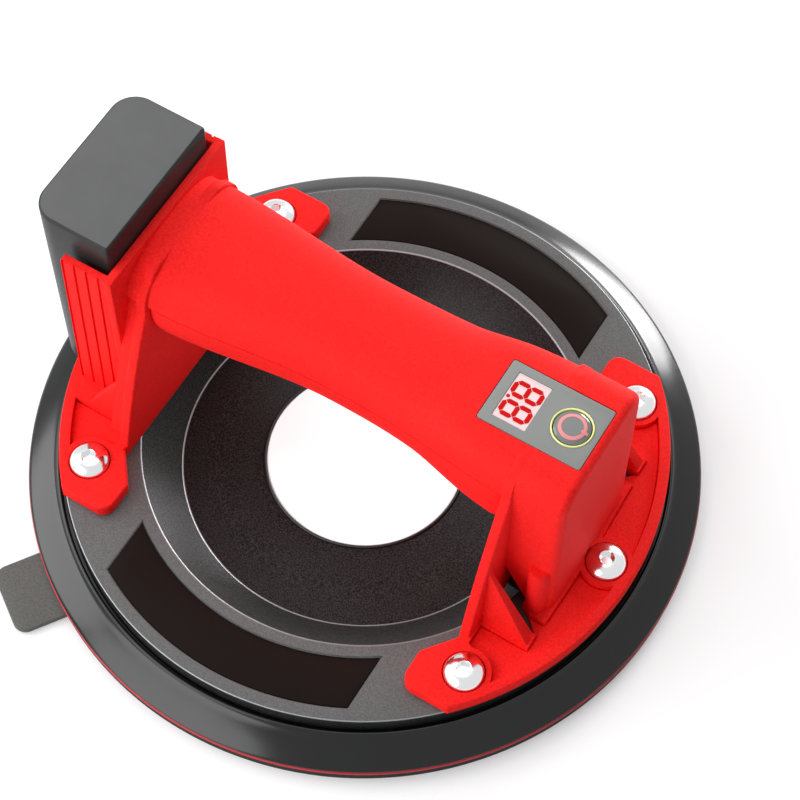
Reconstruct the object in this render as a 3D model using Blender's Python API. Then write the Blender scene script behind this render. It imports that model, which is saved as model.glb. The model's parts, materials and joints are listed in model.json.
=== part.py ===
"""Battery vacuum suction cup: dished base with a rubber skirt, bridge handle, pump and slide-in battery."""

import math

import bmesh
import bpy
from mathutils import Matrix, Vector

for leftover in list(bpy.data.objects):
    bpy.data.objects.remove(leftover, do_unlink=True)

# Driving sizes, all in metres unless the name says otherwise

GAP = 0.0003                     # assembly gap between pieces that seat on each other
RING_FACETS = 50                 # facets round the large rings
FINE_FACETS = 12                 # facets round bolts, buttons and bores

SKIRT_RADIUS = 0.1036            # outer edge of the rubber skirt
LIP_OVERHANG = 0.0004            # red lip beyond the skirt
LIP_WIDTH = 0.0110
LIP_THICKNESS = 0.0010
FOAM_SETBACK = 0.0006            # foam inside the skirt's edge
FOAM_WIDTH = 0.0110
FOAM_HEIGHT = 0.0037
SKIRT_EDGE = 0.0006              # upright edge at the foot of the skirt
SKIRT_SLOPE_WIDTH = 0.0094
SKIRT_SLOPE_RISE = 0.0052
SKIRT_WEB = 0.0014               # rubber under the plate's turned-down rim
SKIRT_INNER_LIP = 0.0020
BEAD_WIDTH = 0.0014
GROOVE_WIDTH = 0.0011            # groove between bead and plate
GROOVE_DROP = 0.0018

PLATE_RISE = 0.0106              # from the skirt's underside to the top of the plate
PLATE_THICKNESS = 0.0020
PLATE_CHAMFER = 0.0006
ANNULUS_WIDTH = 0.0236           # flat ring of the plate
DISH_SLOPE_RUN = 0.0117
DISH_DEPTH = 0.0129
DISH_CROWN = 0.0008
DISC_RADIUS = 0.0303
DISC_THICKNESS = 0.0010
GASKET_WIDTH = 0.0012
LABEL_MARGIN = 0.0044            # from the plate's edge
LABEL_WIDTH = 0.0151
LABEL_HALF_LENGTH = 0.0415
LABEL_THICKNESS = 0.0006

TAB_ANGLE = -124.3               # degrees, direction of the release tab
TAB_WIDTH = 0.0226
TAB_LENGTH = 0.0130
TAB_THICKNESS = 0.0020
TAB_CORNER = 0.0040
TAB_STANDOFF = 0.0010            # tab's bend line outside the lip
TAB_ROOT_DEPTH = 0.0060

BOLT_EDGE = 0.0082               # bolt centres inside the feet's outer edge
BOLT_ANGLES = (0.0, 38.4, -38.4, 141.6, -141.6)   # degrees
BOLT_HEAD_RADIUS = 0.0062
BOLT_HEAD_HEIGHT = 0.0046
BOLT_SHANK_RADIUS = 0.0025
BOLT_SEAT_RADIUS = 0.0067
BOLT_SEAT_DEPTH = 0.0018
NUT_WIDTH = 0.0080               # across flats
NUT_HEIGHT = 0.0040
HOLE_CLEARANCE = 0.0003

FLANGE_SETBACK = 0.0002          # feet inside the plate's edge
FLANGE_HEIGHT = 0.0043
FLANGE_TOE = 0.0070              # feet reaching in past the bulkheads
FLANGE_HALF_LENGTH = 0.0637
FLANGE_CORNER = 0.0040
FLANGE_CHAMFER_Y = 0.0525        # where the foot's inner edge turns towards the bulkhead
POCKET_DEPTH = 0.0010
POCKET_BORDER = 0.0033
POCKET_BOLT_RING = 0.0013
POCKET_STEP = 0.0006             # land left round the bulkhead, the gussets and the pump bay

HANDLE_RISE = 0.0710             # from the plate to the flat top of the handle
WALL = 0.0024
SEAM_DROP = 0.0124               # from the handle's top to the parting seam
SEAM_GAP = 0.0003
GRIP_WAIST_HALF = 0.0184
GRIP_BATTERY_HALF = 0.0232
GRIP_DISPLAY_HALF = 0.0220
GRIP_DEPTH = 0.0278              # depth of the grip at its waist
GRIP_BATTERY_DROP = 0.0038       # how much deeper the grip is at each end
GRIP_DISPLAY_DROP = 0.0066
GRIP_DISPLAY_DELAY = 1.5         # above 1 the grip swells later towards the display
GRIP_SQUARE_FROM = 0.45          # share of the way to the bulkhead where the section turns square
GRIP_SQUARE_TO = 0.80
GRIP_POWER = 2.7                 # roundness of the grip section; higher is squarer
BOX_POWER = 4.2
GRIP_STATIONS = 9
SECTION_POINTS = 20
GRIP_END_ROUND = 0.0045          # rounding at the ends of the lower shell
GRIP_END_INSET = 0.0012

BULKHEAD_THICKNESS = 0.0032
BULKHEAD_FOOT_HALF = 0.0432
BULKHEAD_HEAD_HALF = 0.0212
BULKHEAD_HEAD_DROP = 0.0075
BULKHEAD_BULGE = 0.0016
COLLAR_RELIEF = 0.0008           # ridge that each bulkhead makes round the grip's shoulders
GUSSET_Y = 0.0312                # inner face of each gusset
GUSSET_THICKNESS = 0.0042        # at the foot; the outer face leans in to a narrow sloped edge
GUSSET_EDGE = 0.0014
GUSSET_RUN = 0.0154
GUSSET_RISE = 0.0276

BOX_SETBACK = 0.0145             # pump bay's end face inside the feet's outer edge
BAY_LENGTH = 0.0158              # from the bulkhead to the end face
BOX_FOOT_HALF = 0.0226
BOX_TOP_ROUND = 0.0080
BOX_CORNER = 0.0026
BOX_BOSS_SETBACK = 0.0048
BOX_BOSS_RADIUS = 0.0032
BOX_BOSS_HEIGHT = 0.0230
BOX_NOTCH_RUN = 0.0076           # sloped cut in the foot of each box side, beside the bulkhead
BOX_NOTCH_RISE = 0.0143

NECK_LENGTH = 0.0038             # from the bulkhead to the dock's back wall
DOCK_WALL = 0.0027
DOCK_CLEARANCE = 0.0018          # between the battery and each side wall
DOCK_REACH = 0.0146              # length of each side wall at its top
DOCK_LEAN = 0.0020               # how far its free end and grooves lean out at the foot
DOCK_RISE = 0.0016               # back wall above the handle's top
DOCK_SIDE_DROP = 0.0006          # side wall's free end below the back wall
DOCK_GROOVES = 4
DOCK_GROOVE_PITCH = 0.0041
DOCK_GROOVE_WIDTH = 0.0009
DOCK_GROOVE_DEPTH = 0.0007
RAIL_WIDTH = 0.0034
RAIL_SETBACK = 0.0093            # rail's middle from the dock's back wall
RAIL_ENGAGE = 0.0012
RAIL_DROP = 0.0096               # rail's top below the back wall's
RAIL_CLEARANCE = 0.0004
NECK_INSET = 0.0018

BATTERY_LENGTH = 0.0272          # along the handle
BATTERY_HALF_WIDTH = 0.0246
BATTERY_HEIGHT = 0.0774
BATTERY_CORNER = 0.0080
BATTERY_WALL = 0.0020
BATTERY_LID_HEIGHT = 0.0124
BATTERY_BEVEL = 0.0014
CELL_RADIUS = 0.0092
CELL_LENGTH = 0.0560
CELL_PITCH = 0.0200
BLADE_THICKNESS = 0.0010
BLADE_WIDTH = 0.0060
BLADE_HEIGHT = 0.0080
BLADE_PITCH = 0.0160
SLOT_CLEARANCE = 0.0006
TERMINAL_HEIGHT = 0.0020
CONTACT_BLOCK_HEIGHT = 0.0024

PANEL_LENGTH = 0.0320            # along the handle
PANEL_WIDTH = 0.0209
PANEL_END = 0.0026               # from the end face to the panel
PANEL_THICKNESS = 0.0010
PANEL_CORNER = 0.0012
WINDOW_LENGTH = 0.0102
WINDOW_WIDTH = 0.0153
WINDOW_OFFSET = 0.0076           # from the panel's middle towards the grip
WINDOW_THICKNESS = 0.0008
BUTTON_OFFSET = 0.0081           # from the panel's middle towards the end face
BUTTON_RADIUS = 0.0049
BUTTON_DOME = 0.0009
BUTTON_RING_WIDTH = 0.0009
BUTTON_TRAVEL = 0.0008
BUTTON_STEM_RADIUS = 0.0018
BOARD_LENGTH = 0.0290
BOARD_HALF_WIDTH = 0.0150
BOARD_THICKNESS = 0.0016
BOARD_DROP = 0.0060              # from the inside of the top wall to the board
MODULE_HEIGHT = 0.0045
SWITCH_SIZE = 0.0060
SWITCH_HEIGHT = 0.0026
SENSOR_SIZE = 0.0070
SENSOR_HEIGHT = 0.0030

MOTOR_RADIUS = 0.0095
MOTOR_LENGTH = 0.0260
MOTOR_END_X = -0.0120            # pump-side end of the motor
PUMP_LENGTH = 0.0240
PUMP_HALF = 0.0098
PUMP_CORNER = 0.0025
PUMP_STEP = 0.0010               # how far the clamped diaphragm ring stands proud
PUMP_CLAMP = 0.0080              # its distance from each end of the pump head
CRADLE_THICKNESS = 0.0024
SADDLE_HALF = 0.0110
PUMP_DROP = 0.0140               # from the handle's top to the motor's axis
NIPPLE_RADIUS = 0.0016
NIPPLE_LENGTH = 0.0050
PORT_SETBACK = 0.0031            # port's distance outside the edge of the dish
PORT_SPREAD = 0.0046             # each hose's distance from the middle of the manifold
PORT_BORE = 0.0018
MANIFOLD_HALF = 0.0080
MANIFOLD_DEPTH = 0.0056
MANIFOLD_HEIGHT = 0.0040
FILTER_THICKNESS = 0.0016
HOSE_RADIUS = 0.0020
LEAD_RADIUS = 0.0012
LEAD_Y = 0.0126                  # the lead's place beside the pump
BAY_FLOOR_THICKNESS = 0.0018

SCREW_BATTERY_INSET = 0.0110     # screws from each bulkhead
SCREW_DISPLAY_INSET = 0.0280
SCREW_Y = 0.0108
SCREW_SHANK_RADIUS = 0.0011
SCREW_HEAD_RADIUS = 0.0026
SCREW_HEAD_HEIGHT = 0.0018
SCREW_SEAT = 0.0050              # depth of the screw head's seat
SCREW_BITE = 0.0050              # how far a screw reaches past the seam
POST_RADIUS = 0.0036

# Places and levels that follow from the sizes

SEAL_RADIUS = SKIRT_RADIUS + LIP_OVERHANG
FOAM_RADIUS = SKIRT_RADIUS - FOAM_SETBACK
TAB_HINGE_RADIUS = SEAL_RADIUS + TAB_STANDOFF
PLATE_RADIUS = SKIRT_RADIUS - SKIRT_SLOPE_WIDTH - BEAD_WIDTH - GROOVE_WIDTH
ANNULUS_INNER = PLATE_RADIUS - ANNULUS_WIDTH
DISH_RADIUS = ANNULUS_INNER - DISH_SLOPE_RUN
LABEL_OUTER = PLATE_RADIUS - LABEL_MARGIN
LABEL_INNER = LABEL_OUTER - LABEL_WIDTH
FLANGE_RADIUS = PLATE_RADIUS - FLANGE_SETBACK
BOLT_CIRCLE = FLANGE_RADIUS - BOLT_EDGE
BOX_END_X = FLANGE_RADIUS - BOX_SETBACK
BOX_BOSS_X = BOX_END_X - BOX_BOSS_SETBACK
BULKHEAD_X = BOX_END_X - BAY_LENGTH - BULKHEAD_THICKNESS
FLANGE_INNER_X = BULKHEAD_X - FLANGE_TOE
DOCK_INNER_X = BULKHEAD_X + BULKHEAD_THICKNESS + NECK_LENGTH
DOCK_HALF_WIDTH = BATTERY_HALF_WIDTH + DOCK_CLEARANCE + DOCK_WALL
RAIL_X = DOCK_INNER_X + DOCK_WALL + RAIL_SETBACK
PANEL_X = BOX_END_X - PANEL_END - PANEL_LENGTH / 2
WINDOW_X = PANEL_X - WINDOW_OFFSET
BUTTON_X = PANEL_X + BUTTON_OFFSET
SCREW_XS = (SCREW_BATTERY_INSET - BULKHEAD_X, BULKHEAD_X - SCREW_DISPLAY_INSET)
LIP_BOTTOM = FOAM_HEIGHT + GAP
SKIRT_BOTTOM = LIP_BOTTOM + LIP_THICKNESS + GAP
PLATE_TOP = SKIRT_BOTTOM + PLATE_RISE
PLATE_UNDER = PLATE_TOP - PLATE_THICKNESS
NUT_TOP = PLATE_UNDER - GAP
NUT_BOTTOM = NUT_TOP - NUT_HEIGHT
DISH_EDGE_Z = PLATE_TOP - DISH_DEPTH
DISC_RECESS_Z = DISH_EDGE_Z + DISH_CROWN - DISC_THICKNESS - GAP
FLANGE_BOTTOM = PLATE_TOP + GAP
FLANGE_TOP = FLANGE_BOTTOM + FLANGE_HEIGHT
HANDLE_TOP = PLATE_TOP + HANDLE_RISE
SEAM_Z = HANDLE_TOP - SEAM_DROP
TOP_WALL_Z = HANDLE_TOP - WALL
PUMP_AXIS_Z = HANDLE_TOP - PUMP_DROP
DOCK_FACE_X = -DOCK_INNER_X - DOCK_WALL
BATTERY_BOTTOM = FLANGE_TOP + GAP
BATTERY_TOP = BATTERY_BOTTOM + BATTERY_HEIGHT
BATTERY_INNER_X = DOCK_FACE_X - GAP
BATTERY_OUTER_X = BATTERY_INNER_X - BATTERY_LENGTH
BOARD_TOP = TOP_WALL_Z - BOARD_DROP
LEAD_Z = FLANGE_TOP + LEAD_RADIUS + 3 * GAP
PORT_X = ANNULUS_INNER + PORT_SETBACK
FILTER_RADIUS = PORT_SETBACK - PLATE_CHAMFER - GAP
BIG = 0.4                        # side of the blocks that trim a shape


def finish(name, colour, roughness, metallic=0.0):
    """Material with one colour, roughness and metallic value."""
    material = bpy.data.materials.new(name)
    material.use_nodes = True
    shader = material.node_tree.nodes["Principled BSDF"]
    shader.inputs["Base Color"].default_value = (*colour, 1.0)
    shader.inputs["Roughness"].default_value = roughness
    shader.inputs["Metallic"].default_value = metallic
    return material


def place(name, bm, material=None, sharp_angle=35):
    """Turn a bmesh into a named object with outward faces, its material and smooth round sides."""
    bmesh.ops.recalc_face_normals(bm, faces=bm.faces)
    mesh = bpy.data.meshes.new(name)
    bm.to_mesh(mesh)
    bm.free()
    thing = bpy.data.objects.new(name, mesh)
    bpy.context.scene.collection.objects.link(thing)
    if material:
        mesh.materials.append(material)
        mesh.shade_smooth()
        mesh.set_sharp_from_angle(angle=math.radians(sharp_angle))
    return thing


def combine(target, tool, operation):
    """Boolean the tool into the target, then delete the tool."""
    change = target.modifiers.new("combine", "BOOLEAN")
    change.operation = operation
    change.solver = "EXACT"
    change.object = tool
    graph = bpy.context.evaluated_depsgraph_get()
    result = bpy.data.meshes.new_from_object(target.evaluated_get(graph))
    target.modifiers.clear()
    target.data = result
    bpy.data.objects.remove(tool, do_unlink=True)


def add(target, *tools):
    for tool in tools:
        combine(target, tool, "UNION")


def cut(target, *tools):
    for tool in tools:
        combine(target, tool, "DIFFERENCE")


def dress(thing, material, sharp_angle=35):
    """Give a finished Boolean result its one material and its smooth round sides."""
    thing.data.materials.clear()
    thing.data.materials.append(material)
    thing.data.polygons.foreach_set("material_index", [0] * len(thing.data.polygons))
    thing.data.shade_smooth()
    thing.data.set_sharp_from_angle(angle=math.radians(sharp_angle))


def arc(centre, radius, start, end, steps):
    """Points round a centre from one angle to another, in degrees."""
    points = []
    for step in range(steps + 1):
        angle = math.radians(start + (end - start) * step / steps)
        points.append((centre[0] + radius * math.cos(angle), centre[1] + radius * math.sin(angle)))
    return points


def ring(centre, radius, facets):
    """Closed circle of points, with a flat and not a corner towards each axis."""
    half = 180 / facets
    return arc(centre, radius, half, 360 - half, facets - 1)


def turned(profile, facets, on_axis=False):
    """Spin a radius and height profile round Z. A profile that starts and ends on the axis stays open."""
    bm = bmesh.new()
    verts = [bm.verts.new((radius, 0.0, height)) for radius, height in profile]
    edges = [bm.edges.new(pair) for pair in zip(verts, verts[1:])]
    if not on_axis:
        edges.append(bm.edges.new((verts[-1], verts[0])))
    bmesh.ops.spin(bm, geom=verts + edges, cent=(0, 0, 0), axis=(0, 0, 1), angle=math.tau,
                   steps=facets, use_merge=True)
    bmesh.ops.remove_doubles(bm, verts=bm.verts, dist=1e-6)
    bmesh.ops.dissolve_degenerate(bm, edges=bm.edges, dist=1e-7)
    return bm


def prism(outline, low, high, axis="Z"):
    """Extrude a flat outline between two levels along an axis."""
    order = {"Z": lambda a, b, c: (a, b, c), "X": lambda a, b, c: (c, a, b), "Y": lambda a, b, c: (a, c, b)}
    bm = bmesh.new()
    verts = [bm.verts.new(order[axis](a, b, low)) for a, b in outline]
    face = bm.faces.new(verts)
    grown = bmesh.ops.extrude_face_region(bm, geom=[face])
    moved = [item for item in grown["geom"] if isinstance(item, bmesh.types.BMVert)]
    bmesh.ops.translate(bm, verts=moved, vec=Vector(order[axis](0.0, 0.0, high - low)))
    return bm


def rectangle(x0, x1, y0, y1, corner=0.0, steps=4):
    """Outline of a rectangle with round corners."""
    if corner <= 0.0:
        return [(x0, y0), (x1, y0), (x1, y1), (x0, y1)]
    points = arc((x1 - corner, y0 + corner), corner, -90, 0, steps)
    points += arc((x1 - corner, y1 - corner), corner, 0, 90, steps)
    points += arc((x0 + corner, y1 - corner), corner, 90, 180, steps)
    points += arc((x0 + corner, y0 + corner), corner, 180, 270, steps)
    return points


def block(x0, x1, y0, y1, z0, z1, corner=0.0):
    return prism(rectangle(x0, x1, y0, y1, corner), z0, z1)


def rod(centre, radius, z0, z1, facets=FINE_FACETS):
    """Upright cylinder."""
    return prism(ring(centre, radius, facets), z0, z1)


def level_rod(x0, x1, y, z, radius, facets=FINE_FACETS):
    """Cylinder along the handle."""
    return prism(ring((y, z), radius, facets), x0, x1, "X")


def tool(bm):
    return place("tool", bm)


def polar(radius, degrees):
    angle = math.radians(degrees)
    return radius * math.cos(angle), radius * math.sin(angle)


# Materials

red_abs = finish("red_abs", (0.80, 0.018, 0.016), 0.42)
grey_plate = finish("grey_plate", (0.075, 0.075, 0.075), 0.38)
black_rubber = finish("black_rubber", (0.022, 0.022, 0.022), 0.55)
black_foam = finish("black_foam", (0.016, 0.016, 0.016), 0.90)
red_silicone = finish("red_silicone", (0.48, 0.035, 0.040), 0.50)
grey_rubber = finish("grey_rubber", (0.10, 0.10, 0.095), 0.65)
white_plastic = finish("white_plastic", (0.85, 0.85, 0.85), 0.35)
dark_label = finish("dark_label", (0.016, 0.012, 0.011), 0.30)
bright_steel = finish("bright_steel", (0.78, 0.78, 0.78), 0.12, 1.0)
zinc_steel = finish("zinc_steel", (0.55, 0.55, 0.56), 0.30, 1.0)
grey_panel = finish("grey_panel", (0.30, 0.31, 0.30), 0.40)
clear_window = finish("clear_window", (0.85, 0.75, 0.75), 0.20)
yellow_ring = finish("yellow_ring", (0.80, 0.85, 0.35), 0.35)
grey_button = finish("grey_button", (0.28, 0.29, 0.28), 0.32)
black_abs = finish("black_abs", (0.030, 0.030, 0.032), 0.45)
battery_abs = finish("battery_abs", (0.060, 0.062, 0.060), 0.40)
green_board = finish("green_board", (0.02, 0.16, 0.06), 0.50)
brass = finish("brass", (0.72, 0.52, 0.20), 0.28, 1.0)
cell_wrap = finish("cell_wrap", (0.05, 0.20, 0.45), 0.40)
felt = finish("felt", (0.60, 0.60, 0.56), 0.95)
clear_hose = finish("clear_hose", (0.62, 0.62, 0.60), 0.35)


# Suction base

def label_outline(side, grow):
    """Ring sector with ends cut square across the handle's direction."""
    outer = LABEL_OUTER + grow
    inner = LABEL_INNER - grow
    reach = LABEL_HALF_LENGTH + grow
    wide = math.degrees(math.asin(reach / outer))
    narrow = math.degrees(math.asin(reach / inner))
    middle = 90 * side
    points = arc((0, 0), outer, middle - wide, middle + wide, 10)
    points += arc((0, 0), inner, middle + narrow, middle - narrow, 10)
    return points


def make_base_plate():
    recess_radius = DISC_RADIUS + GASKET_WIDTH + 2 * GAP
    rim_inner = PLATE_RADIUS - PLATE_THICKNESS
    rim_bottom = SKIRT_BOTTOM + SKIRT_WEB + GAP
    dish_under = DISH_EDGE_Z - PLATE_THICKNESS + GAP
    profile = [
        (0.0, DISC_RECESS_Z),
        (recess_radius, DISC_RECESS_Z),
        (recess_radius, DISH_EDGE_Z + DISH_CROWN),
        (DISH_RADIUS, DISH_EDGE_Z),
        (ANNULUS_INNER - PLATE_CHAMFER, PLATE_TOP - PLATE_CHAMFER),
        (ANNULUS_INNER, PLATE_TOP),
        (PLATE_RADIUS - PLATE_CHAMFER, PLATE_TOP),
        (PLATE_RADIUS, PLATE_TOP - PLATE_CHAMFER),
        (PLATE_RADIUS, rim_bottom),
        (rim_inner, rim_bottom),
        (rim_inner, PLATE_UNDER),
        (ANNULUS_INNER + PLATE_CHAMFER, PLATE_UNDER),
        (DISH_RADIUS + PLATE_CHAMFER, dish_under),
        (0.0, dish_under),
    ]
    plate = place("base_plate", turned(profile, RING_FACETS, on_axis=True))
    for side in (-1, 1):
        recess_floor = PLATE_TOP - LABEL_THICKNESS - 2 * GAP
        cut(plate, tool(prism(label_outline(side, GAP), recess_floor, PLATE_TOP + BIG)))
    for angle in BOLT_ANGLES:
        centre = polar(BOLT_CIRCLE, angle)
        cut(plate, tool(rod(centre, BOLT_SHANK_RADIUS + HOLE_CLEARANCE, PLATE_UNDER - WALL, PLATE_TOP + WALL)))
    cut(plate, tool(rod((PORT_X, 0), PORT_BORE + GAP, PLATE_UNDER - WALL, PLATE_TOP + WALL)))
    dress(plate, grey_plate)


def make_seals():
    slope_top = SKIRT_BOTTOM + SKIRT_EDGE + SKIRT_SLOPE_RISE
    bead_radius = BEAD_WIDTH / 2
    bead_centre = SKIRT_RADIUS - SKIRT_SLOPE_WIDTH - bead_radius
    groove_outer = PLATE_RADIUS + GAP
    groove_inner = PLATE_RADIUS - PLATE_THICKNESS - GAP
    groove_floor = SKIRT_BOTTOM + SKIRT_WEB
    profile = [(groove_outer, slope_top - GROOVE_DROP), (bead_centre - bead_radius, slope_top - GROOVE_DROP)]
    profile += arc((bead_centre, slope_top), bead_radius, 180, 30, 4)
    profile += [
        (SKIRT_RADIUS, SKIRT_BOTTOM + SKIRT_EDGE),
        (SKIRT_RADIUS, SKIRT_BOTTOM),
        (groove_inner - SKIRT_INNER_LIP, SKIRT_BOTTOM),
        (groove_inner - SKIRT_INNER_LIP, NUT_BOTTOM - GAP),
        (groove_inner, NUT_BOTTOM - GAP),
        (groove_inner, groove_floor),
        (groove_outer, groove_floor),
    ]
    place("rubber_skirt", turned(profile, RING_FACETS), black_rubber)

    lip = [
        (SEAL_RADIUS - LIP_WIDTH, LIP_BOTTOM + LIP_THICKNESS),
        (SEAL_RADIUS, LIP_BOTTOM + LIP_THICKNESS),
        (SEAL_RADIUS, LIP_BOTTOM),
        (SEAL_RADIUS - LIP_WIDTH, LIP_BOTTOM),
    ]
    place("seal_lip", turned(lip, RING_FACETS), red_silicone)

    foam_profile = [
        (FOAM_RADIUS - FOAM_WIDTH, FOAM_HEIGHT),
        (FOAM_RADIUS, FOAM_HEIGHT),
        (FOAM_RADIUS, 0.0),
        (FOAM_RADIUS - FOAM_WIDTH, 0.0),
    ]
    foam = place("foam_seal", turned(foam_profile, RING_FACETS))
    notch_inner = TAB_HINGE_RADIUS - TAB_ROOT_DEPTH - GAP
    half = TAB_WIDTH / 2 + GAP
    notch = tool(block(notch_inner, TAB_HINGE_RADIUS + WALL, -half, half, -WALL, FOAM_HEIGHT + GAP / 2))
    turn_tool(notch, TAB_ANGLE)
    cut(foam, notch)
    dress(foam, black_foam)


def turn_tool(thing, degrees):
    """Turn an object's mesh round Z in place."""
    thing.data.transform(Matrix.Rotation(math.radians(degrees), 4, "Z"))


def make_release_tab():
    """Rubber pull tab: a root clamped in the foam, and a free flap that bends up along the root's top edge."""
    half = TAB_WIDTH / 2
    low = GAP
    high = low + TAB_THICKNESS
    root = place("tab_root", block(TAB_HINGE_RADIUS - TAB_ROOT_DEPTH, TAB_HINGE_RADIUS - GAP / 2,
                                   -half, half, low, high), grey_rubber)
    turn_tool(root, TAB_ANGLE)
    tip = TAB_LENGTH
    outline = [(GAP / 2, -half)]
    outline += arc((tip - TAB_CORNER, -half + TAB_CORNER), TAB_CORNER, -90, 0, 4)
    outline += arc((tip - TAB_CORNER, half - TAB_CORNER), TAB_CORNER, 0, 90, 4)
    outline += [(GAP / 2, half)]
    hinge = bpy.data.objects.new("tab_hinge", None)
    hinge.location = (*polar(TAB_HINGE_RADIUS, TAB_ANGLE), high)
    hinge.rotation_euler = (0, 0, math.radians(TAB_ANGLE))
    bpy.context.scene.collection.objects.link(hinge)
    flap = place("release_tab", prism(outline, low - high, 0.0), grey_rubber)
    flap.parent = hinge


def make_centre():
    top = DISC_RECESS_Z + GAP + DISC_THICKNESS
    low = DISC_RECESS_Z + GAP
    place("centre_disc", turned([(0, top), (DISC_RADIUS, top), (DISC_RADIUS, low), (0, low)],
                                RING_FACETS // 2, on_axis=True), white_plastic)
    inner = DISC_RADIUS + GAP
    outer = inner + GASKET_WIDTH
    place("centre_gasket", turned([(inner, top + GAP), (outer, top + GAP), (outer, low), (inner, low)],
                                  RING_FACETS // 2), black_rubber)
    for side, name in ((-1, "label_plate_near"), (1, "label_plate_far")):
        floor = PLATE_TOP - LABEL_THICKNESS - GAP
        place(name, prism(label_outline(side, 0.0), floor, floor + LABEL_THICKNESS), dark_label)


def make_fasteners():
    """Button-head bolts through the feet, with sealing nuts under the plate."""
    seat = FLANGE_TOP - BOLT_SEAT_DEPTH + GAP
    socket = BOLT_HEAD_RADIUS * 0.36
    for number, angle in enumerate(BOLT_ANGLES, 1):
        x, y = polar(BOLT_CIRCLE, angle)
        crown = seat + BOLT_HEAD_HEIGHT
        profile = [(0, crown - BOLT_HEAD_HEIGHT / 2), (socket, crown - BOLT_HEAD_HEIGHT / 2), (socket, crown)]
        profile += [(BOLT_HEAD_RADIUS * math.sin(math.radians(turn)),
                     seat + BOLT_HEAD_HEIGHT * (0.2 + 0.8 * math.cos(math.radians(turn)) ** 0.8))
                    for turn in (40, 62, 80)]
        profile += [(BOLT_HEAD_RADIUS, seat + BOLT_HEAD_HEIGHT * 0.2), (BOLT_HEAD_RADIUS, seat),
                    (BOLT_SHANK_RADIUS, seat), (BOLT_SHANK_RADIUS, NUT_BOTTOM), (0, NUT_BOTTOM)]
        bolt = place(f"flange_bolt_{number}", turned(profile, FINE_FACETS, on_axis=True), bright_steel)
        bolt.location = (x, y, 0)
        hexagon = arc((0, 0), NUT_WIDTH / 2 / math.cos(math.radians(30)), 0, 300, 5)
        nut = place(f"sealing_nut_{number}", prism(hexagon, NUT_BOTTOM, NUT_TOP))
        cut(nut, tool(rod((0, 0), BOLT_SHANK_RADIUS + HOLE_CLEARANCE, NUT_BOTTOM - WALL, NUT_TOP + WALL)))
        dress(nut, zinc_steel)
        nut.location = (x, y, 0)


# Handle

def ease(value):
    """Smooth step from 0 to 1."""
    value = max(0.0, min(1.0, value))
    return value * value * (3 - 2 * value)


def grip_shape(x):
    """Half width, bottom level and squareness of the grip at a place along the handle."""
    if x < 0:
        share = ease(-x / BULKHEAD_X)
        half = GRIP_WAIST_HALF + (GRIP_BATTERY_HALF - GRIP_WAIST_HALF) * share
        drop = GRIP_BATTERY_DROP * share
        power = GRIP_POWER
    else:
        share = ease((x / BULKHEAD_X) ** GRIP_DISPLAY_DELAY)
        half = GRIP_WAIST_HALF + (GRIP_DISPLAY_HALF - GRIP_WAIST_HALF) * share
        drop = GRIP_DISPLAY_DROP * share
        turn = (x / BULKHEAD_X - GRIP_SQUARE_FROM) / (GRIP_SQUARE_TO - GRIP_SQUARE_FROM)
        power = GRIP_POWER + (BOX_POWER - GRIP_POWER) * ease(turn)
    return half, HANDLE_TOP - GRIP_DEPTH - drop, power


def grip_section(x, inset=0.0, widen=0.0):
    """Closed superellipse section of the grip, shrunk by an inset or made wider."""
    half, bottom, power = grip_shape(x)
    half += widen - inset
    depth = (HANDLE_TOP - bottom) / 2 - inset
    middle = (HANDLE_TOP + bottom) / 2
    loop = []
    for step in range(SECTION_POINTS):
        angle = math.tau * (step + 0.5) / SECTION_POINTS
        side, up = math.cos(angle), math.sin(angle)
        loop.append(Vector((x, half * math.copysign(abs(side) ** (2 / power), side),
                            middle + depth * math.copysign(abs(up) ** (2 / power), up))))
    return loop


def loft(loops):
    """Skin a row of closed loops and cap both ends."""
    bm = bmesh.new()
    rings = [[bm.verts.new(point) for point in loop] for loop in loops]
    count = len(rings[0])
    for ring, other in zip(rings, rings[1:]):
        for here in range(count):
            there = (here + 1) % count
            bm.faces.new((ring[here], ring[there], other[there], other[here]))
    bm.faces.new(rings[0])
    bm.faces.new(rings[-1])
    return bm


def grip_body(x0, x1, inset=0.0):
    stations = [x0 + (x1 - x0) * step / (GRIP_STATIONS - 1) for step in range(GRIP_STATIONS)]
    return loft([grip_section(x, inset) for x in stations])


def bulkhead_outline(inset=0.0):
    """Flared leg outline seen along the handle: wide at the foot, with a slight outward bulge."""
    low = FLANGE_BOTTOM
    head = HANDLE_TOP - BULKHEAD_HEAD_DROP
    steps = 6
    side = []
    for step in range(steps + 1):
        share = step / steps
        half = BULKHEAD_FOOT_HALF + (BULKHEAD_HEAD_HALF - BULKHEAD_FOOT_HALF) * share
        half += BULKHEAD_BULGE * math.sin(math.pi * share)
        side.append((half - inset, low + (head - low) * share))
    shoulder = (BULKHEAD_HEAD_HALF - BULKHEAD_HEAD_DROP - inset, HANDLE_TOP - inset - GAP)
    corner = (side[-1][0] - BULKHEAD_HEAD_DROP / 3, HANDLE_TOP - BULKHEAD_HEAD_DROP / 4 - inset)
    right = side + [corner, shoulder]
    return right + [(-y, z) for y, z in reversed(right)]


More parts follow.
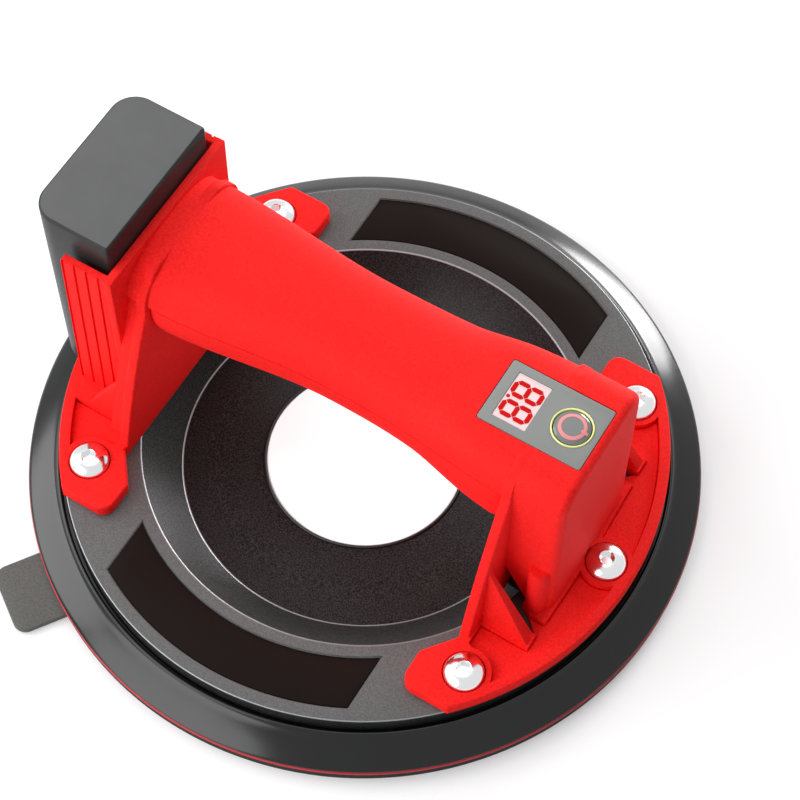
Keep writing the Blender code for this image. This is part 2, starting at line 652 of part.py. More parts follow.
def foot_outline(sign):
    """Plan of one foot: a ring sector with square ends and a cut back to the bulkhead."""
    reach = FLANGE_HALF_LENGTH
    outer_angle = math.degrees(math.asin(reach / FLANGE_RADIUS))
    points = arc((0, 0), FLANGE_RADIUS, -outer_angle, outer_angle, 20)
    corner = FLANGE_CORNER
    points += arc((FLANGE_INNER_X + corner, reach - corner), corner, 90, 180, 4)
    points += [(FLANGE_INNER_X, FLANGE_CHAMFER_Y), (BULKHEAD_X + GAP, BULKHEAD_FOOT_HALF)]
    points += [(BULKHEAD_X + GAP, -BULKHEAD_FOOT_HALF), (FLANGE_INNER_X, -FLANGE_CHAMFER_Y)]
    points += arc((FLANGE_INNER_X + corner, -reach + corner), corner, 180, 270, 4)
    return [(sign * x, y) for x, y in points]


def pocket_tool(sign, side):
    """Shallow recess in the top of a foot, round the bolt seats and clear of the border and the walls."""
    outer = FLANGE_RADIUS - POCKET_BORDER
    root = BULKHEAD_X + BULKHEAD_THICKNESS + POCKET_STEP
    beside_gusset = GUSSET_Y + GUSSET_THICKNESS + POCKET_STEP
    start = 0 if sign > 0 else math.degrees(math.asin(beside_gusset / outer))
    points = arc((0, 0), outer, start, BOLT_ANGLES[1], 8)
    points += [(root, BULKHEAD_FOOT_HALF), (root, beside_gusset)]
    if sign > 0:
        tip = root + GUSSET_RUN
        beside_boss = BOX_FOOT_HALF + BOX_BOSS_RADIUS + POCKET_STEP
        points += [(tip, beside_gusset), (tip, GUSSET_Y - GAP), (BOX_BOSS_X, GUSSET_Y - GAP),
                   (BOX_BOSS_X, beside_boss), (BOX_END_X + POCKET_STEP, beside_boss),
                   (BOX_END_X + POCKET_STEP, 0)]
    flat = [(sign * x, side * y) for x, y in points]
    low, high = FLANGE_TOP - POCKET_DEPTH, FLANGE_TOP + WALL
    pocket = tool(prism(flat, low, high))
    for angle in BOLT_ANGLES:
        ring = rod(polar(BOLT_CIRCLE, angle), BOLT_SEAT_RADIUS + POCKET_BOLT_RING, low - GAP, high + GAP,
                   2 * FINE_FACETS)
        cut(pocket, tool(ring))
    return pocket


def foot_opening(side):
    """Way through the display foot between the bulkhead, a gusset and the pump bay."""
    root = BULKHEAD_X + BULKHEAD_THICKNESS + GAP
    points = [(root, BOX_FOOT_HALF + GAP), (root + BOX_NOTCH_RUN, BOX_FOOT_HALF + GAP),
              (BOX_BOSS_X - BOX_BOSS_RADIUS, BOX_FOOT_HALF + BOX_BOSS_RADIUS / 2),
              (BOX_BOSS_X, BOX_FOOT_HALF + BOX_BOSS_RADIUS + GAP),
              (root + GUSSET_RUN, GUSSET_Y - GAP), (root, GUSSET_Y - GAP)]
    return tool(prism([(x, side * y) for x, y in points], FLANGE_BOTTOM - WALL, FLANGE_TOP + GAP))


def box_outline(inset, bottom):
    """Pump bay seen along the handle: slightly tapered sides and a round-shouldered top."""
    top = HANDLE_TOP - inset
    half = GRIP_DISPLAY_HALF - inset
    shoulder = BOX_TOP_ROUND - inset
    left = arc((shoulder - half, top - shoulder), shoulder, 180, 90, 5)
    left = [(inset - BOX_FOOT_HALF, bottom)] + left
    return left + [(-y, z) for y, z in reversed(left)]


def pump_box(x0):
    """Pump bay block with its end face's edges rounded."""
    bm = prism(box_outline(0.0, FLANGE_BOTTOM), x0, BOX_END_X, "X")
    rim = [edge for edge in bm.edges if all(vert.co.x > BOX_END_X - GAP for vert in edge.verts)
           and any(vert.co.z > FLANGE_TOP for vert in edge.verts)]
    bmesh.ops.bevel(bm, geom=rim, offset=BOX_CORNER, offset_type="OFFSET", segments=3, profile=0.5,
                    affect="EDGES", material=-1)
    return bm


def make_handle_frame():
    inner = BULKHEAD_X
    outer = BULKHEAD_X + BULKHEAD_THICKNESS
    reach = outer - GAP
    frame = place("handle_frame", grip_body(-DOCK_INNER_X - GAP, reach))
    cut(frame, tool(block(-inner, inner, -BIG, BIG, -BIG, SEAM_Z + SEAM_GAP / 2)))

    for sign in (-1, 1):
        ends = sorted((sign * inner, sign * outer))
        add(frame, tool(prism(bulkhead_outline(), *ends, "X")))
        collar = [grip_section(sign * x, widen=COLLAR_RELIEF) for x in (inner + GAP, outer - GAP)]
        add(frame, tool(loft(collar)))
        add(frame, tool(prism(foot_outline(sign), FLANGE_BOTTOM, FLANGE_TOP)))
    add(frame, tool(pump_box(reach)))
    make_neck_and_dock(frame)

    for sign in (-1, 1):
        for side in (-1, 1):
            add(frame, tool(gusset(sign, side)))
    for side in (-1, 1):
        boss = arc((BOX_BOSS_X, side * BOX_FOOT_HALF), BOX_BOSS_RADIUS, 0, 330, 11)
        add(frame, tool(prism(boss, FLANGE_BOTTOM + GAP, FLANGE_TOP + BOX_BOSS_HEIGHT)))
    hollow_handle(frame, outer)
    cut_feet(frame)
    cut_panel(frame)
    add_posts(frame)
    dress(frame, red_abs)


def gusset(sign, side):
    """Three-cornered web between a bulkhead and its foot, narrowing from the foot to its sloped edge."""
    start = BULKHEAD_X + BULKHEAD_THICKNESS - GAP
    end = start + GUSSET_RUN + GAP
    root = FLANGE_BOTTOM + GAP
    draft = (GUSSET_THICKNESS - GUSSET_EDGE) / GUSSET_RISE
    outline = [(start, root), (end, root), (end, FLANGE_TOP - GAP), (start, FLANGE_TOP + GUSSET_RISE)]
    inner = [(sign * x, side * GUSSET_Y, z) for x, z in outline]
    outer = [(sign * x, side * (GUSSET_Y + GUSSET_THICKNESS - draft * (z - FLANGE_TOP)), z) for x, z in outline]
    return loft([inner, outer])


def make_neck_and_dock(frame):
    """Battery end: hollow neck, dock back wall, side walls with grooves, and guide rails."""
    back_top = HANDLE_TOP + DOCK_RISE
    neck = bulkhead_outline(NECK_INSET)
    add(frame, tool(prism(neck, -DOCK_INNER_X - GAP, -BULKHEAD_X - BULKHEAD_THICKNESS / 2, "X")))
    add(frame, tool(block(DOCK_FACE_X, -DOCK_INNER_X, -DOCK_HALF_WIDTH, DOCK_HALF_WIDTH,
                          FLANGE_BOTTOM + GAP, back_top)))
    end = DOCK_FACE_X - DOCK_REACH
    for side in (-1, 1):
        profile = [(DOCK_FACE_X + GAP, FLANGE_BOTTOM + GAP), (DOCK_FACE_X + GAP, back_top - GAP),
                   (end, back_top - DOCK_SIDE_DROP), (end - DOCK_LEAN, FLANGE_BOTTOM + GAP)]
        inner_face = DOCK_HALF_WIDTH - DOCK_WALL
        ends = sorted((side * inner_face, side * (DOCK_HALF_WIDTH - GAP / 2)))
        add(frame, tool(prism(profile, *ends, "Y")))
        rail_face = BATTERY_HALF_WIDTH - RAIL_ENGAGE
        ends = sorted((side * rail_face, side * (inner_face + GAP)))
        add(frame, tool(block(-RAIL_X - RAIL_WIDTH / 2, -RAIL_X + RAIL_WIDTH / 2, *ends,
                              FLANGE_BOTTOM + GAP, back_top - RAIL_DROP)))
        for groove in range(DOCK_GROOVES):
            x = -DOCK_INNER_X - DOCK_GROOVE_PITCH * (groove + 1)
            face = DOCK_HALF_WIDTH - DOCK_GROOVE_DEPTH
            ends = sorted((side * face, side * (DOCK_HALF_WIDTH + WALL)))
            foot, half = FLANGE_TOP + GAP, DOCK_GROOVE_WIDTH / 2
            profile = [(x - half - DOCK_LEAN, foot), (x + half - DOCK_LEAN, foot),
                       (x + half, back_top + WALL), (x - half, back_top + WALL)]
            cut(frame, tool(prism(profile, *ends, "Y")))


def hollow_handle(frame, outer):
    """Open the grip, the pump bay and the neck into one run for the pump, hoses and wires."""
    cut(frame, tool(grip_body(-DOCK_INNER_X + WALL / 2, outer + WALL, WALL)))
    cut(frame, tool(prism(box_outline(WALL, FLANGE_BOTTOM - WALL), outer, BOX_END_X - WALL, "X")))
    neck = [(y, z) for y, z in bulkhead_outline(NECK_INSET + WALL)]
    neck = [(y, z if z > FLANGE_TOP else FLANGE_TOP + GAP) for y, z in neck]
    cut(frame, tool(prism(neck, -DOCK_INNER_X, -outer, "X")))
    lead_hole = level_rod(DOCK_FACE_X - WALL, -DOCK_INNER_X + GAP, 0, LEAD_Z, LEAD_RADIUS + 2 * GAP)
    cut(frame, tool(lead_hole))
    for side in (-1, 1):
        notch = [(outer, FLANGE_TOP + GAP), (outer + BOX_NOTCH_RUN, FLANGE_TOP + GAP),
                 (outer, FLANGE_TOP + BOX_NOTCH_RISE)]
        ends = sorted((side * (BOX_FOOT_HALF - 2 * WALL), side * (BOX_FOOT_HALF + WALL)))
        cut(frame, tool(prism(notch, *ends, "Y")))


def cut_feet(frame):
    """Pockets, openings, bolt seats and bolt holes in the feet."""
    for sign in (-1, 1):
        for side in (-1, 1):
            cut(frame, pocket_tool(sign, side))
    for side in (-1, 1):
        cut(frame, foot_opening(side))
    for angle in BOLT_ANGLES:
        centre = polar(BOLT_CIRCLE, angle)
        seat = FLANGE_TOP - BOLT_SEAT_DEPTH
        over = FLANGE_TOP + 2 * BOLT_HEAD_HEIGHT
        cut(frame, tool(rod(centre, BOLT_SEAT_RADIUS, seat, over, 2 * FINE_FACETS)))
        cut(frame, tool(rod(centre, BOLT_SHANK_RADIUS + HOLE_CLEARANCE, FLANGE_BOTTOM - WALL, FLANGE_TOP)))


def cut_panel(frame):
    """Seat for the panel in the flat top, with openings for the display and the button."""
    half_length = PANEL_LENGTH / 2 + GAP
    half_width = PANEL_WIDTH / 2 + GAP
    seat = HANDLE_TOP - PANEL_THICKNESS - GAP
    cut(frame, tool(block(PANEL_X - half_length, PANEL_X + half_length, -half_width, half_width,
                          seat, HANDLE_TOP + WALL, PANEL_CORNER)))
    inset = WALL / 2
    cut(frame, tool(block(WINDOW_X - WINDOW_LENGTH / 2 + inset, WINDOW_X + WINDOW_LENGTH / 2 - inset,
                          -WINDOW_WIDTH / 2 + inset, WINDOW_WIDTH / 2 - inset, TOP_WALL_Z - WALL, HANDLE_TOP)))
    cut(frame, tool(rod((BUTTON_X, 0), BUTTON_RADIUS + GAP, TOP_WALL_Z - WALL, HANDLE_TOP, 2 * FINE_FACETS)))


def add_posts(frame):
    """Posts under the top wall for the grip screws and the circuit board."""
    for x in SCREW_XS:
        for side in (-1, 1):
            centre = (x, side * SCREW_Y)
            add(frame, tool(rod(centre, POST_RADIUS, SEAM_Z + SEAM_GAP / 2 + GAP, TOP_WALL_Z + GAP)))
            cut(frame, tool(rod(centre, SCREW_SHANK_RADIUS + HOLE_CLEARANCE, SEAM_Z - WALL,
                                SEAM_Z + SCREW_BITE + GAP)))
    board_x = (PANEL_X - BOARD_LENGTH / 2, PANEL_X + BOARD_LENGTH / 2)
    for x in board_x:
        for side in (-1, 1):
            inset = math.copysign(POST_RADIUS, x - PANEL_X)
            centre = (x - inset, side * (BOARD_HALF_WIDTH - POST_RADIUS))
            add(frame, tool(rod(centre, POST_RADIUS / 2, BOARD_TOP + GAP, TOP_WALL_Z + GAP)))


def make_lower_shell():
    """Lower half of the grip, with rounded ends, screw posts and the saddles that carry the pump."""
    end = BULKHEAD_X - GAP
    stations = [-end + 2 * end * step / (GRIP_STATIONS - 1) for step in range(GRIP_STATIONS)]
    close = [end - GRIP_END_ROUND * share for share in (0.1, 0.3, 0.6)]
    stations = sorted(stations + close + [-x for x in close])
    loops = []
    for x in stations:
        past = max(0.0, abs(x) - (end - GRIP_END_ROUND)) / GRIP_END_ROUND
        loops.append(grip_section(x, GRIP_END_INSET * (1 - math.sqrt(1 - min(past, 1.0) ** 2))))
    shell = place("lower_shell", loft(loops))
    seam = SEAM_Z - SEAM_GAP / 2
    cut(shell, tool(grip_body(-BULKHEAD_X - WALL, BULKHEAD_X + WALL, WALL)))
    for x in SCREW_XS:
        for side in (-1, 1):
            centre = (x, side * SCREW_Y)
            floor = grip_shape(x)[1]
            add(shell, tool(rod(centre, POST_RADIUS, floor + WALL, seam - GAP)))
            seat = floor + SCREW_SEAT
            cut(shell, tool(rod(centre, SCREW_HEAD_RADIUS + HOLE_CLEARANCE, floor - WALL, seat)))
            cut(shell, tool(rod(centre, SCREW_SHANK_RADIUS + HOLE_CLEARANCE, floor - WALL, seam + WALL)))
    for x in saddle_places():
        half, floor, power = grip_shape(x)
        saddle = tool(block(x - CRADLE_THICKNESS / 2, x + CRADLE_THICKNESS / 2,
                            -SADDLE_HALF, SADDLE_HALF, floor + WALL, PUMP_AXIS_Z))
        reach = CRADLE_THICKNESS
        cut(saddle, tool(level_rod(x - reach, x + reach, 0, PUMP_AXIS_Z, MOTOR_RADIUS + GAP, 2 * FINE_FACETS)))
        add(shell, saddle)
    cut(shell, tool(block(-BIG, BIG, -BIG, BIG, seam, BIG)))
    dress(shell, red_abs)


def saddle_places():
    """Two saddles under the motor can, a little in from its ends."""
    inset = MOTOR_LENGTH / 5
    return MOTOR_END_X - inset, MOTOR_END_X - MOTOR_LENGTH + inset


def make_grip_screws():
    number = 0
    for x in SCREW_XS:
        for side in (-1, 1):
            number += 1
            head_top = grip_shape(x)[1] + SCREW_SEAT - GAP
            tip = SEAM_Z + SCREW_BITE
            head_low = head_top - SCREW_HEAD_HEIGHT
            profile = [(0, tip), (SCREW_SHANK_RADIUS, tip), (SCREW_SHANK_RADIUS, head_top),
                       (SCREW_HEAD_RADIUS, head_top), (SCREW_HEAD_RADIUS, head_low), (0, head_low)]
            screw = place(f"grip_screw_{number}", turned(profile, FINE_FACETS, on_axis=True), zinc_steel)
            screw.location = (x, side * SCREW_Y, 0)


# Battery pack

def battery_outline(grow=0.0):
    """Plan of the pack: square towards the handle, round corners outside, with a guide groove each side."""
    half = BATTERY_HALF_WIDTH + grow
    inner, outer = BATTERY_INNER_X + grow, BATTERY_OUTER_X - grow
    corner = BATTERY_CORNER + grow
    near = arc((outer + corner, -half + corner), corner, 180, 270, 5)
    far = arc((outer + corner, half - corner), corner, 90, 180, 5)
    return near + [(inner, -half), (inner, half)] + far


def make_battery():
    """Case with slots for the dock blades, and a lid with a bevelled top. Both lift out along the rails."""
    split = BATTERY_TOP - BATTERY_LID_HEIGHT
    case = place("battery_case", prism(battery_outline(), BATTERY_BOTTOM, split - GAP / 2))
    cavity_floor = BATTERY_BOTTOM + BLADE_HEIGHT + CONTACT_BLOCK_HEIGHT + TERMINAL_HEIGHT + BATTERY_WALL
    cut(case, tool(prism(battery_outline(-BATTERY_WALL - RAIL_ENGAGE), cavity_floor, split + WALL)))
    reach = RAIL_WIDTH / 2 + RAIL_CLEARANCE
    for side in (-1, 1):
        face = BATTERY_HALF_WIDTH - RAIL_ENGAGE - RAIL_CLEARANCE
        ends = sorted((side * face, side * (BATTERY_HALF_WIDTH + WALL)))
        cut(case, tool(block(-RAIL_X - reach, -RAIL_X + reach, *ends, BATTERY_BOTTOM - WALL,
                             HANDLE_TOP + DOCK_RISE - RAIL_DROP + GAP + RAIL_CLEARANCE)))
    middle = battery_middle()
    clear = SLOT_CLEARANCE
    block_half = contact_half() + clear
    block_top = BATTERY_BOTTOM + CONTACT_BLOCK_HEIGHT + clear
    cut(case, tool(block(BATTERY_INNER_X - contact_depth(), BATTERY_INNER_X + WALL, -block_half, block_half,
                         BATTERY_BOTTOM - WALL, block_top)))
    for side in (-1, 1):
        y = side * BLADE_PITCH / 2
        cut(case, tool(block(middle - BLADE_WIDTH / 2 - clear, middle + BLADE_WIDTH / 2 + clear,
                             y - BLADE_THICKNESS / 2 - clear, y + BLADE_THICKNESS / 2 + clear,
                             block_top - GAP, cavity_floor - BATTERY_WALL + GAP)))
    dress(case, battery_abs)

    bm = prism(battery_outline(), split + GAP / 2, BATTERY_TOP)
    rim = [edge for edge in bm.edges if all(vert.co.z > BATTERY_TOP - GAP for vert in edge.verts)]
    bmesh.ops.bevel(bm, geom=rim, offset=BATTERY_BEVEL, offset_type="OFFSET", segments=3, profile=0.5,
                    affect="EDGES", material=-1)
    lid = place("battery_lid", bm)
    inside = battery_outline(-BATTERY_WALL - RAIL_ENGAGE)
    cut(lid, tool(prism(inside, split - WALL, BATTERY_TOP - 2 * BATTERY_WALL)))
    dress(lid, battery_abs)

    for number, side in enumerate((-1, 1), 1):
        y = side * CELL_PITCH / 2
        cell_floor = cavity_floor + GAP
        top = cell_floor + CELL_LENGTH
        nub = CELL_RADIUS / 3
        profile = [(0, top + WALL / 2), (nub, top + WALL / 2), (nub, top), (CELL_RADIUS - GAP, top),
                   (CELL_RADIUS, top - GAP), (CELL_RADIUS, cell_floor), (0, cell_floor)]
        cell = place(f"battery_cell_{number}", turned(profile, FINE_FACETS, on_axis=True), cell_wrap)
        cell.location = (middle, y, 0)
        y = side * BLADE_PITCH / 2
        ceiling = cavity_floor - BATTERY_WALL
        place(f"battery_terminal_{number}",
              block(middle - BLADE_WIDTH / 2, middle + BLADE_WIDTH / 2, y - BLADE_THICKNESS / 2,
                    y + BLADE_THICKNESS / 2, ceiling - TERMINAL_HEIGHT + GAP, ceiling), brass)
        blade_low = FLANGE_TOP + GAP + CONTACT_BLOCK_HEIGHT + GAP
        place(f"dock_blade_{number}",
              block(middle - BLADE_WIDTH / 2, middle + BLADE_WIDTH / 2, y - BLADE_THICKNESS / 2,
                    y + BLADE_THICKNESS / 2, blade_low, blade_low + BLADE_HEIGHT - 2 * GAP), brass)
    place("contact_block", block(BATTERY_INNER_X - contact_depth() + clear, BATTERY_INNER_X,
                                 -contact_half(), contact_half(), FLANGE_TOP + GAP,
                                 FLANGE_TOP + GAP + CONTACT_BLOCK_HEIGHT), black_abs)


def battery_middle():
    return (BATTERY_INNER_X + BATTERY_OUTER_X) / 2


def contact_half():
    return BLADE_PITCH / 2 + BLADE_THICKNESS + SLOT_CLEARANCE


def contact_depth():
    return BATTERY_LENGTH / 2 + BLADE_WIDTH / 2 + 2 * SLOT_CLEARANCE


# Display, button and board

def make_display():
    low = HANDLE_TOP - PANEL_THICKNESS
    half_length, half_width = PANEL_LENGTH / 2, PANEL_WIDTH / 2
    panel = place("display_panel", block(PANEL_X - half_length, PANEL_X + half_length, -half_width, half_width,
                                         low, HANDLE_TOP, PANEL_CORNER))
    long, wide = WINDOW_LENGTH / 2, WINDOW_WIDTH / 2
    cut(panel, tool(block(WINDOW_X - long - GAP, WINDOW_X + long + GAP, -wide - GAP, wide + GAP,
                          low - WALL, HANDLE_TOP + WALL)))
    ring_inner = BUTTON_RADIUS + GAP
    ring_outer = ring_inner + BUTTON_RING_WIDTH
    cut(panel, tool(rod((BUTTON_X, 0), ring_outer + GAP, low - WALL, HANDLE_TOP + WALL, 2 * FINE_FACETS)))
    dress(panel, grey_panel)
    place("display_window", block(WINDOW_X - long, WINDOW_X + long, -wide, wide, low,
                                  low + WINDOW_THICKNESS), clear_window)
    halo = place("button_ring", turned([(ring_inner, HANDLE_TOP + GAP), (ring_outer, HANDLE_TOP + GAP),
                                        (ring_outer, low), (ring_inner, low)], 2 * FINE_FACETS), yellow_ring)
    halo.location = (BUTTON_X, 0, 0)

    switch_top = BOARD_TOP + GAP + SWITCH_HEIGHT
    stem_low = switch_top + BUTTON_TRAVEL + GAP
    skirt_low = HANDLE_TOP - 2 * PANEL_THICKNESS
    crown = HANDLE_TOP + BUTTON_DOME
    profile = [(0, crown), (BUTTON_RADIUS * 0.45, crown - BUTTON_DOME * 0.2),
               (BUTTON_RADIUS * 0.8, crown - BUTTON_DOME * 0.65), (BUTTON_RADIUS, HANDLE_TOP),
               (BUTTON_RADIUS, skirt_low), (BUTTON_STEM_RADIUS, skirt_low), (BUTTON_STEM_RADIUS, stem_low),
               (0, stem_low)]
    button = place("power_button", turned(profile, 2 * FINE_FACETS, on_axis=True), grey_button)
    button.location = (BUTTON_X, 0, 0)

    long = BOARD_LENGTH / 2
    place("circuit_board", block(PANEL_X - long, PANEL_X + long, -BOARD_HALF_WIDTH, BOARD_HALF_WIDTH,
                                 BOARD_TOP - BOARD_THICKNESS, BOARD_TOP), green_board)
    half = SWITCH_SIZE / 2
    place("tact_switch", block(BUTTON_X - half, BUTTON_X + half, -half, half, BOARD_TOP + GAP, switch_top,
                               SWITCH_SIZE / 8), black_abs)
    long, wide = WINDOW_LENGTH / 2 - GAP, WINDOW_WIDTH / 2 - GAP
    place("display_module", block(WINDOW_X - long, WINDOW_X + long, -wide, wide, BOARD_TOP + GAP,
                                  BOARD_TOP + GAP + MODULE_HEIGHT), black_abs)
    half = SENSOR_SIZE / 2
    sensor_top = BOARD_TOP - BOARD_THICKNESS - GAP
    x, y = sensor_place()
    sensor = place("pressure_sensor", block(x - half, x + half, y - half, y + half,
                                            sensor_top - SENSOR_HEIGHT, sensor_top))
    add(sensor, tool(rod((x, y), NIPPLE_RADIUS, sensor_top - SENSOR_HEIGHT - NIPPLE_LENGTH,
                         sensor_top - SENSOR_HEIGHT + GAP)))
    dress(sensor, black_abs)


def sensor_place():
    return PORT_X - SENSOR_SIZE / 2, PORT_SPREAD


# Pump and hoses

def make_pump():
    """Motor can with its pump head, carried on the saddles, and the hoses down to the port in the plate."""
    back = MOTOR_END_X - MOTOR_LENGTH
    motor = place("pump_motor", level_rod(back, MOTOR_END_X, 0, PUMP_AXIS_Z, MOTOR_RADIUS, 24))
    add(motor, tool(level_rod(back - CRADLE_THICKNESS, back + GAP, 0, PUMP_AXIS_Z, MOTOR_RADIUS / 3)))
    dress(motor, zinc_steel)
    start = MOTOR_END_X + GAP
    end = start + PUMP_LENGTH
    clamp_start, clamp_end = start + PUMP_CLAMP, end - PUMP_CLAMP
    loops = []
    for x, inset in ((start, PUMP_STEP), (clamp_start, PUMP_STEP), (clamp_start, 0.0),
                     (clamp_end, 0.0), (clamp_end, PUMP_STEP), (end, PUMP_STEP)):
        half = PUMP_HALF - inset
        outline = rectangle(-half, half, PUMP_AXIS_Z - half, PUMP_AXIS_Z + half, PUMP_CORNER)
        loops.append([Vector((x, y, z)) for y, z in outline])
    head = place("pump_head", loft(loops))
    for side in (-1, 1):
        add(head, tool(level_rod(end - GAP, end + NIPPLE_LENGTH, side * PORT_SPREAD, PUMP_AXIS_Z,
                                 NIPPLE_RADIUS)))
    dress(head, black_abs)

    low = PLATE_TOP + GAP + BAY_FLOOR_THICKNESS + GAP
    top = low + MANIFOLD_HEIGHT
    manifold = place("port_manifold", block(PORT_X - MANIFOLD_DEPTH / 2, PORT_X + MANIFOLD_DEPTH / 2,
                                            -MANIFOLD_HALF, MANIFOLD_HALF, low, top))
    add(manifold, tool(rod((PORT_X, 0), PORT_BORE, PLATE_UNDER, low + GAP)))
    for side in (-1, 1):
        add(manifold, tool(rod((PORT_X, side * PORT_SPREAD), NIPPLE_RADIUS, top - GAP, top + NIPPLE_LENGTH)))
    dress(manifold, black_abs)
    place("inlet_filter", turned([(0, PLATE_UNDER - GAP), (FILTER_RADIUS, PLATE_UNDER - GAP),
                                  (FILTER_RADIUS, PLATE_UNDER - GAP - FILTER_THICKNESS),
                                  (0, PLATE_UNDER - GAP - FILTER_THICKNESS)], FINE_FACETS, on_axis=True), felt)
    bpy.data.objects["inlet_filter"].location = (PORT_X, 0, 0)

    outer = BULKHEAD_X + BULKHEAD_THICKNESS
    half = BOX_FOOT_HALF - WALL - 2 * GAP
    floor = place("bay_floor", block(outer + GAP, BOX_END_X - WALL - GAP, -half, half,
                                     PLATE_TOP + GAP, PLATE_TOP + GAP + BAY_FLOOR_THICKNESS))
    cut(floor, tool(rod((PORT_X, 0), PORT_BORE + GAP, PLATE_UNDER, low + WALL)))
    dress(floor, black_abs)

    hose_top = top + NIPPLE_LENGTH + GAP
    nose = end + NIPPLE_LENGTH + GAP
    tube("vacuum_hose", [(nose, -PORT_SPREAD, PUMP_AXIS_Z), (nose + 0.012, -PORT_SPREAD, PUMP_AXIS_Z - 0.001),
                         (PORT_X - 0.022, -PORT_SPREAD, PUMP_AXIS_Z - 0.005),
                         (PORT_X - 0.008, -PORT_SPREAD, PUMP_AXIS_Z - 0.013),
                         (PORT_X, -PORT_SPREAD, PUMP_AXIS_Z - 0.026),
                         (PORT_X, -PORT_SPREAD, hose_top)], HOSE_RADIUS, clear_hose)
    x, y = sensor_place()
    sensor_low = BOARD_TOP - BOARD_THICKNESS - GAP - SENSOR_HEIGHT - NIPPLE_LENGTH - GAP
    tube("sensor_hose", [(x, y, sensor_low), (x, y, sensor_low - 0.004),
                         (PORT_X, PORT_SPREAD, sensor_low - 0.018),
                         (PORT_X, PORT_SPREAD, hose_top)], HOSE_RADIUS, clear_hose)
    neck = -(DOCK_INNER_X + outer) / 2
    board_x = PANEL_X - BOARD_LENGTH / 2 - 2 * GAP
    board_z = BOARD_TOP - BOARD_THICKNESS / 2
    axis = PUMP_AXIS_Z
    first, second = SCREW_XS
    tube("battery_lead", [(DOCK_FACE_X, 0, LEAD_Z), (-DOCK_INNER_X - GAP, 0, LEAD_Z),
                          (neck, 0, LEAD_Z + 0.003), (neck, 0, axis - 0.020),
                          (neck + 0.003, 0, axis - 0.006), (first - 0.004, 0.002, axis),
                          (first + 0.004, 0.0065, axis), (back, LEAD_Y, axis), (MOTOR_END_X, LEAD_Y, axis),
                          (end, LEAD_Y, axis - 0.004), (second - 0.008, 0.003, axis - 0.0075),
                          (second + 0.002, 0, axis - 0.006), (board_x - 0.005, 0, board_z - 0.0008),
                          (board_x, 0, board_z)], LEAD_RADIUS, black_rubber)


def tube(name, points, radius, material):
    """Round tube along a smooth curve through its route's points."""
    route = smooth_route([Vector(point) for point in points])
    curve = bpy.data.curves.new(name, "CURVE")
    curve.dimensions = "3D"
    curve.bevel_depth = radius
    curve.bevel_resolution = 2
    curve.use_fill_caps = True
    spline = curve.splines.new("POLY")
    spline.points.add(len(route) - 1)
    for spot, point in zip(spline.points, route):
        spot.co = (*point, 1.0)
    curve.materials.append(material)
    thing = bpy.data.objects.new(name, curve)
    bpy.context.scene.collection.objects.link(thing)


def smooth_route(points, steps=3):
    """Catmull-Rom curve through the points."""
    padded = [2 * points[0] - points[1]] + points + [2 * points[-1] - points[-2]]
    route = []
    for before, start, end, after in zip(padded, padded[1:], padded[2:], padded[3:]):
        for step in range(steps):
            t = step / steps
            route.append(0.5 * ((2 * start) + (end - before) * t
                                + (2 * before - 5 * start + 4 * end - after) * t * t
                                + (3 * start - before - 3 * end + after) * t ** 3))
    return route + [points[-1]]


make_base_plate()
make_seals()
make_release_tab()
make_centre()
make_fasteners()
make_handle_frame()
make_lower_shell()
make_grip_screws()
make_battery()
make_display()
make_pump()
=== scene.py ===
# Battery vacuum cup: finished pieces, materials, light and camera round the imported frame
import json
import math
import bpy
import bmesh
from mathutils import Matrix, Vector


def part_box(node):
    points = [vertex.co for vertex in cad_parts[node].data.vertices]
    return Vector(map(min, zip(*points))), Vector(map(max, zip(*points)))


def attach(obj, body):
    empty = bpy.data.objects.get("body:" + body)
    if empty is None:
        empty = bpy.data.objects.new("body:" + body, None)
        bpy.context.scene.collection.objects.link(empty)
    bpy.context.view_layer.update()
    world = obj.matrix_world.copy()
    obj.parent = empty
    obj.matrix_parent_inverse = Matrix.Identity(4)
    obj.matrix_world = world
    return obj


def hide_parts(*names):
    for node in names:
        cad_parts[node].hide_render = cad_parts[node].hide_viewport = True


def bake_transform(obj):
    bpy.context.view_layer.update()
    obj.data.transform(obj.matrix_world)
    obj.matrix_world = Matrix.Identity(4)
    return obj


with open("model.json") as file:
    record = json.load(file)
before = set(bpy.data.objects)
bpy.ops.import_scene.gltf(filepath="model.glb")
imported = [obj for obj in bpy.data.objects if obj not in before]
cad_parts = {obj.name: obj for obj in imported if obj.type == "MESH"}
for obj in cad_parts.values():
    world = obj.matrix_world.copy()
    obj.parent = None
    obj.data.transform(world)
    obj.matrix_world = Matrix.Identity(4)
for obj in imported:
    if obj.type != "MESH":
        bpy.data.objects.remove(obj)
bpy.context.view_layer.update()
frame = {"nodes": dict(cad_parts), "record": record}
scene = bpy.context.scene
scene.view_settings.view_transform = "Standard"
mm = 0.001
over = 3.0           # how far a cutter runs past the piece it cuts
sink = 0.3           # how far fused forms run into each other
touch = 0.1          # how near counts as on a face
packGap = 0.3        # between the battery and the foot under it
print("frame loaded:", len(frame["nodes"]), "nodes")


# levels and places in mm, read off the frame

def levels(node):
    low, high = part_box(node)
    return low.z / mm, high.z / mm


plateTop = levels("base_plate")[1]
footLow = levels("handle_frame")[0]
footHigh = levels("battery_case")[0] - packGap
topZ = levels("display_panel")[1]            # flat top of the handle
panelLow, panelHigh = (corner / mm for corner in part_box("display_panel"))
windowLow, windowHigh = (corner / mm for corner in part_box("display_window"))
buttonX = sum(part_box("power_button"), Vector()).x / 2 / mm
boltSpots = [sum(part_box(f"flange_bolt_{number}"), Vector()) / 2 / mm for number in range(1, 6)]


# node and colour helpers

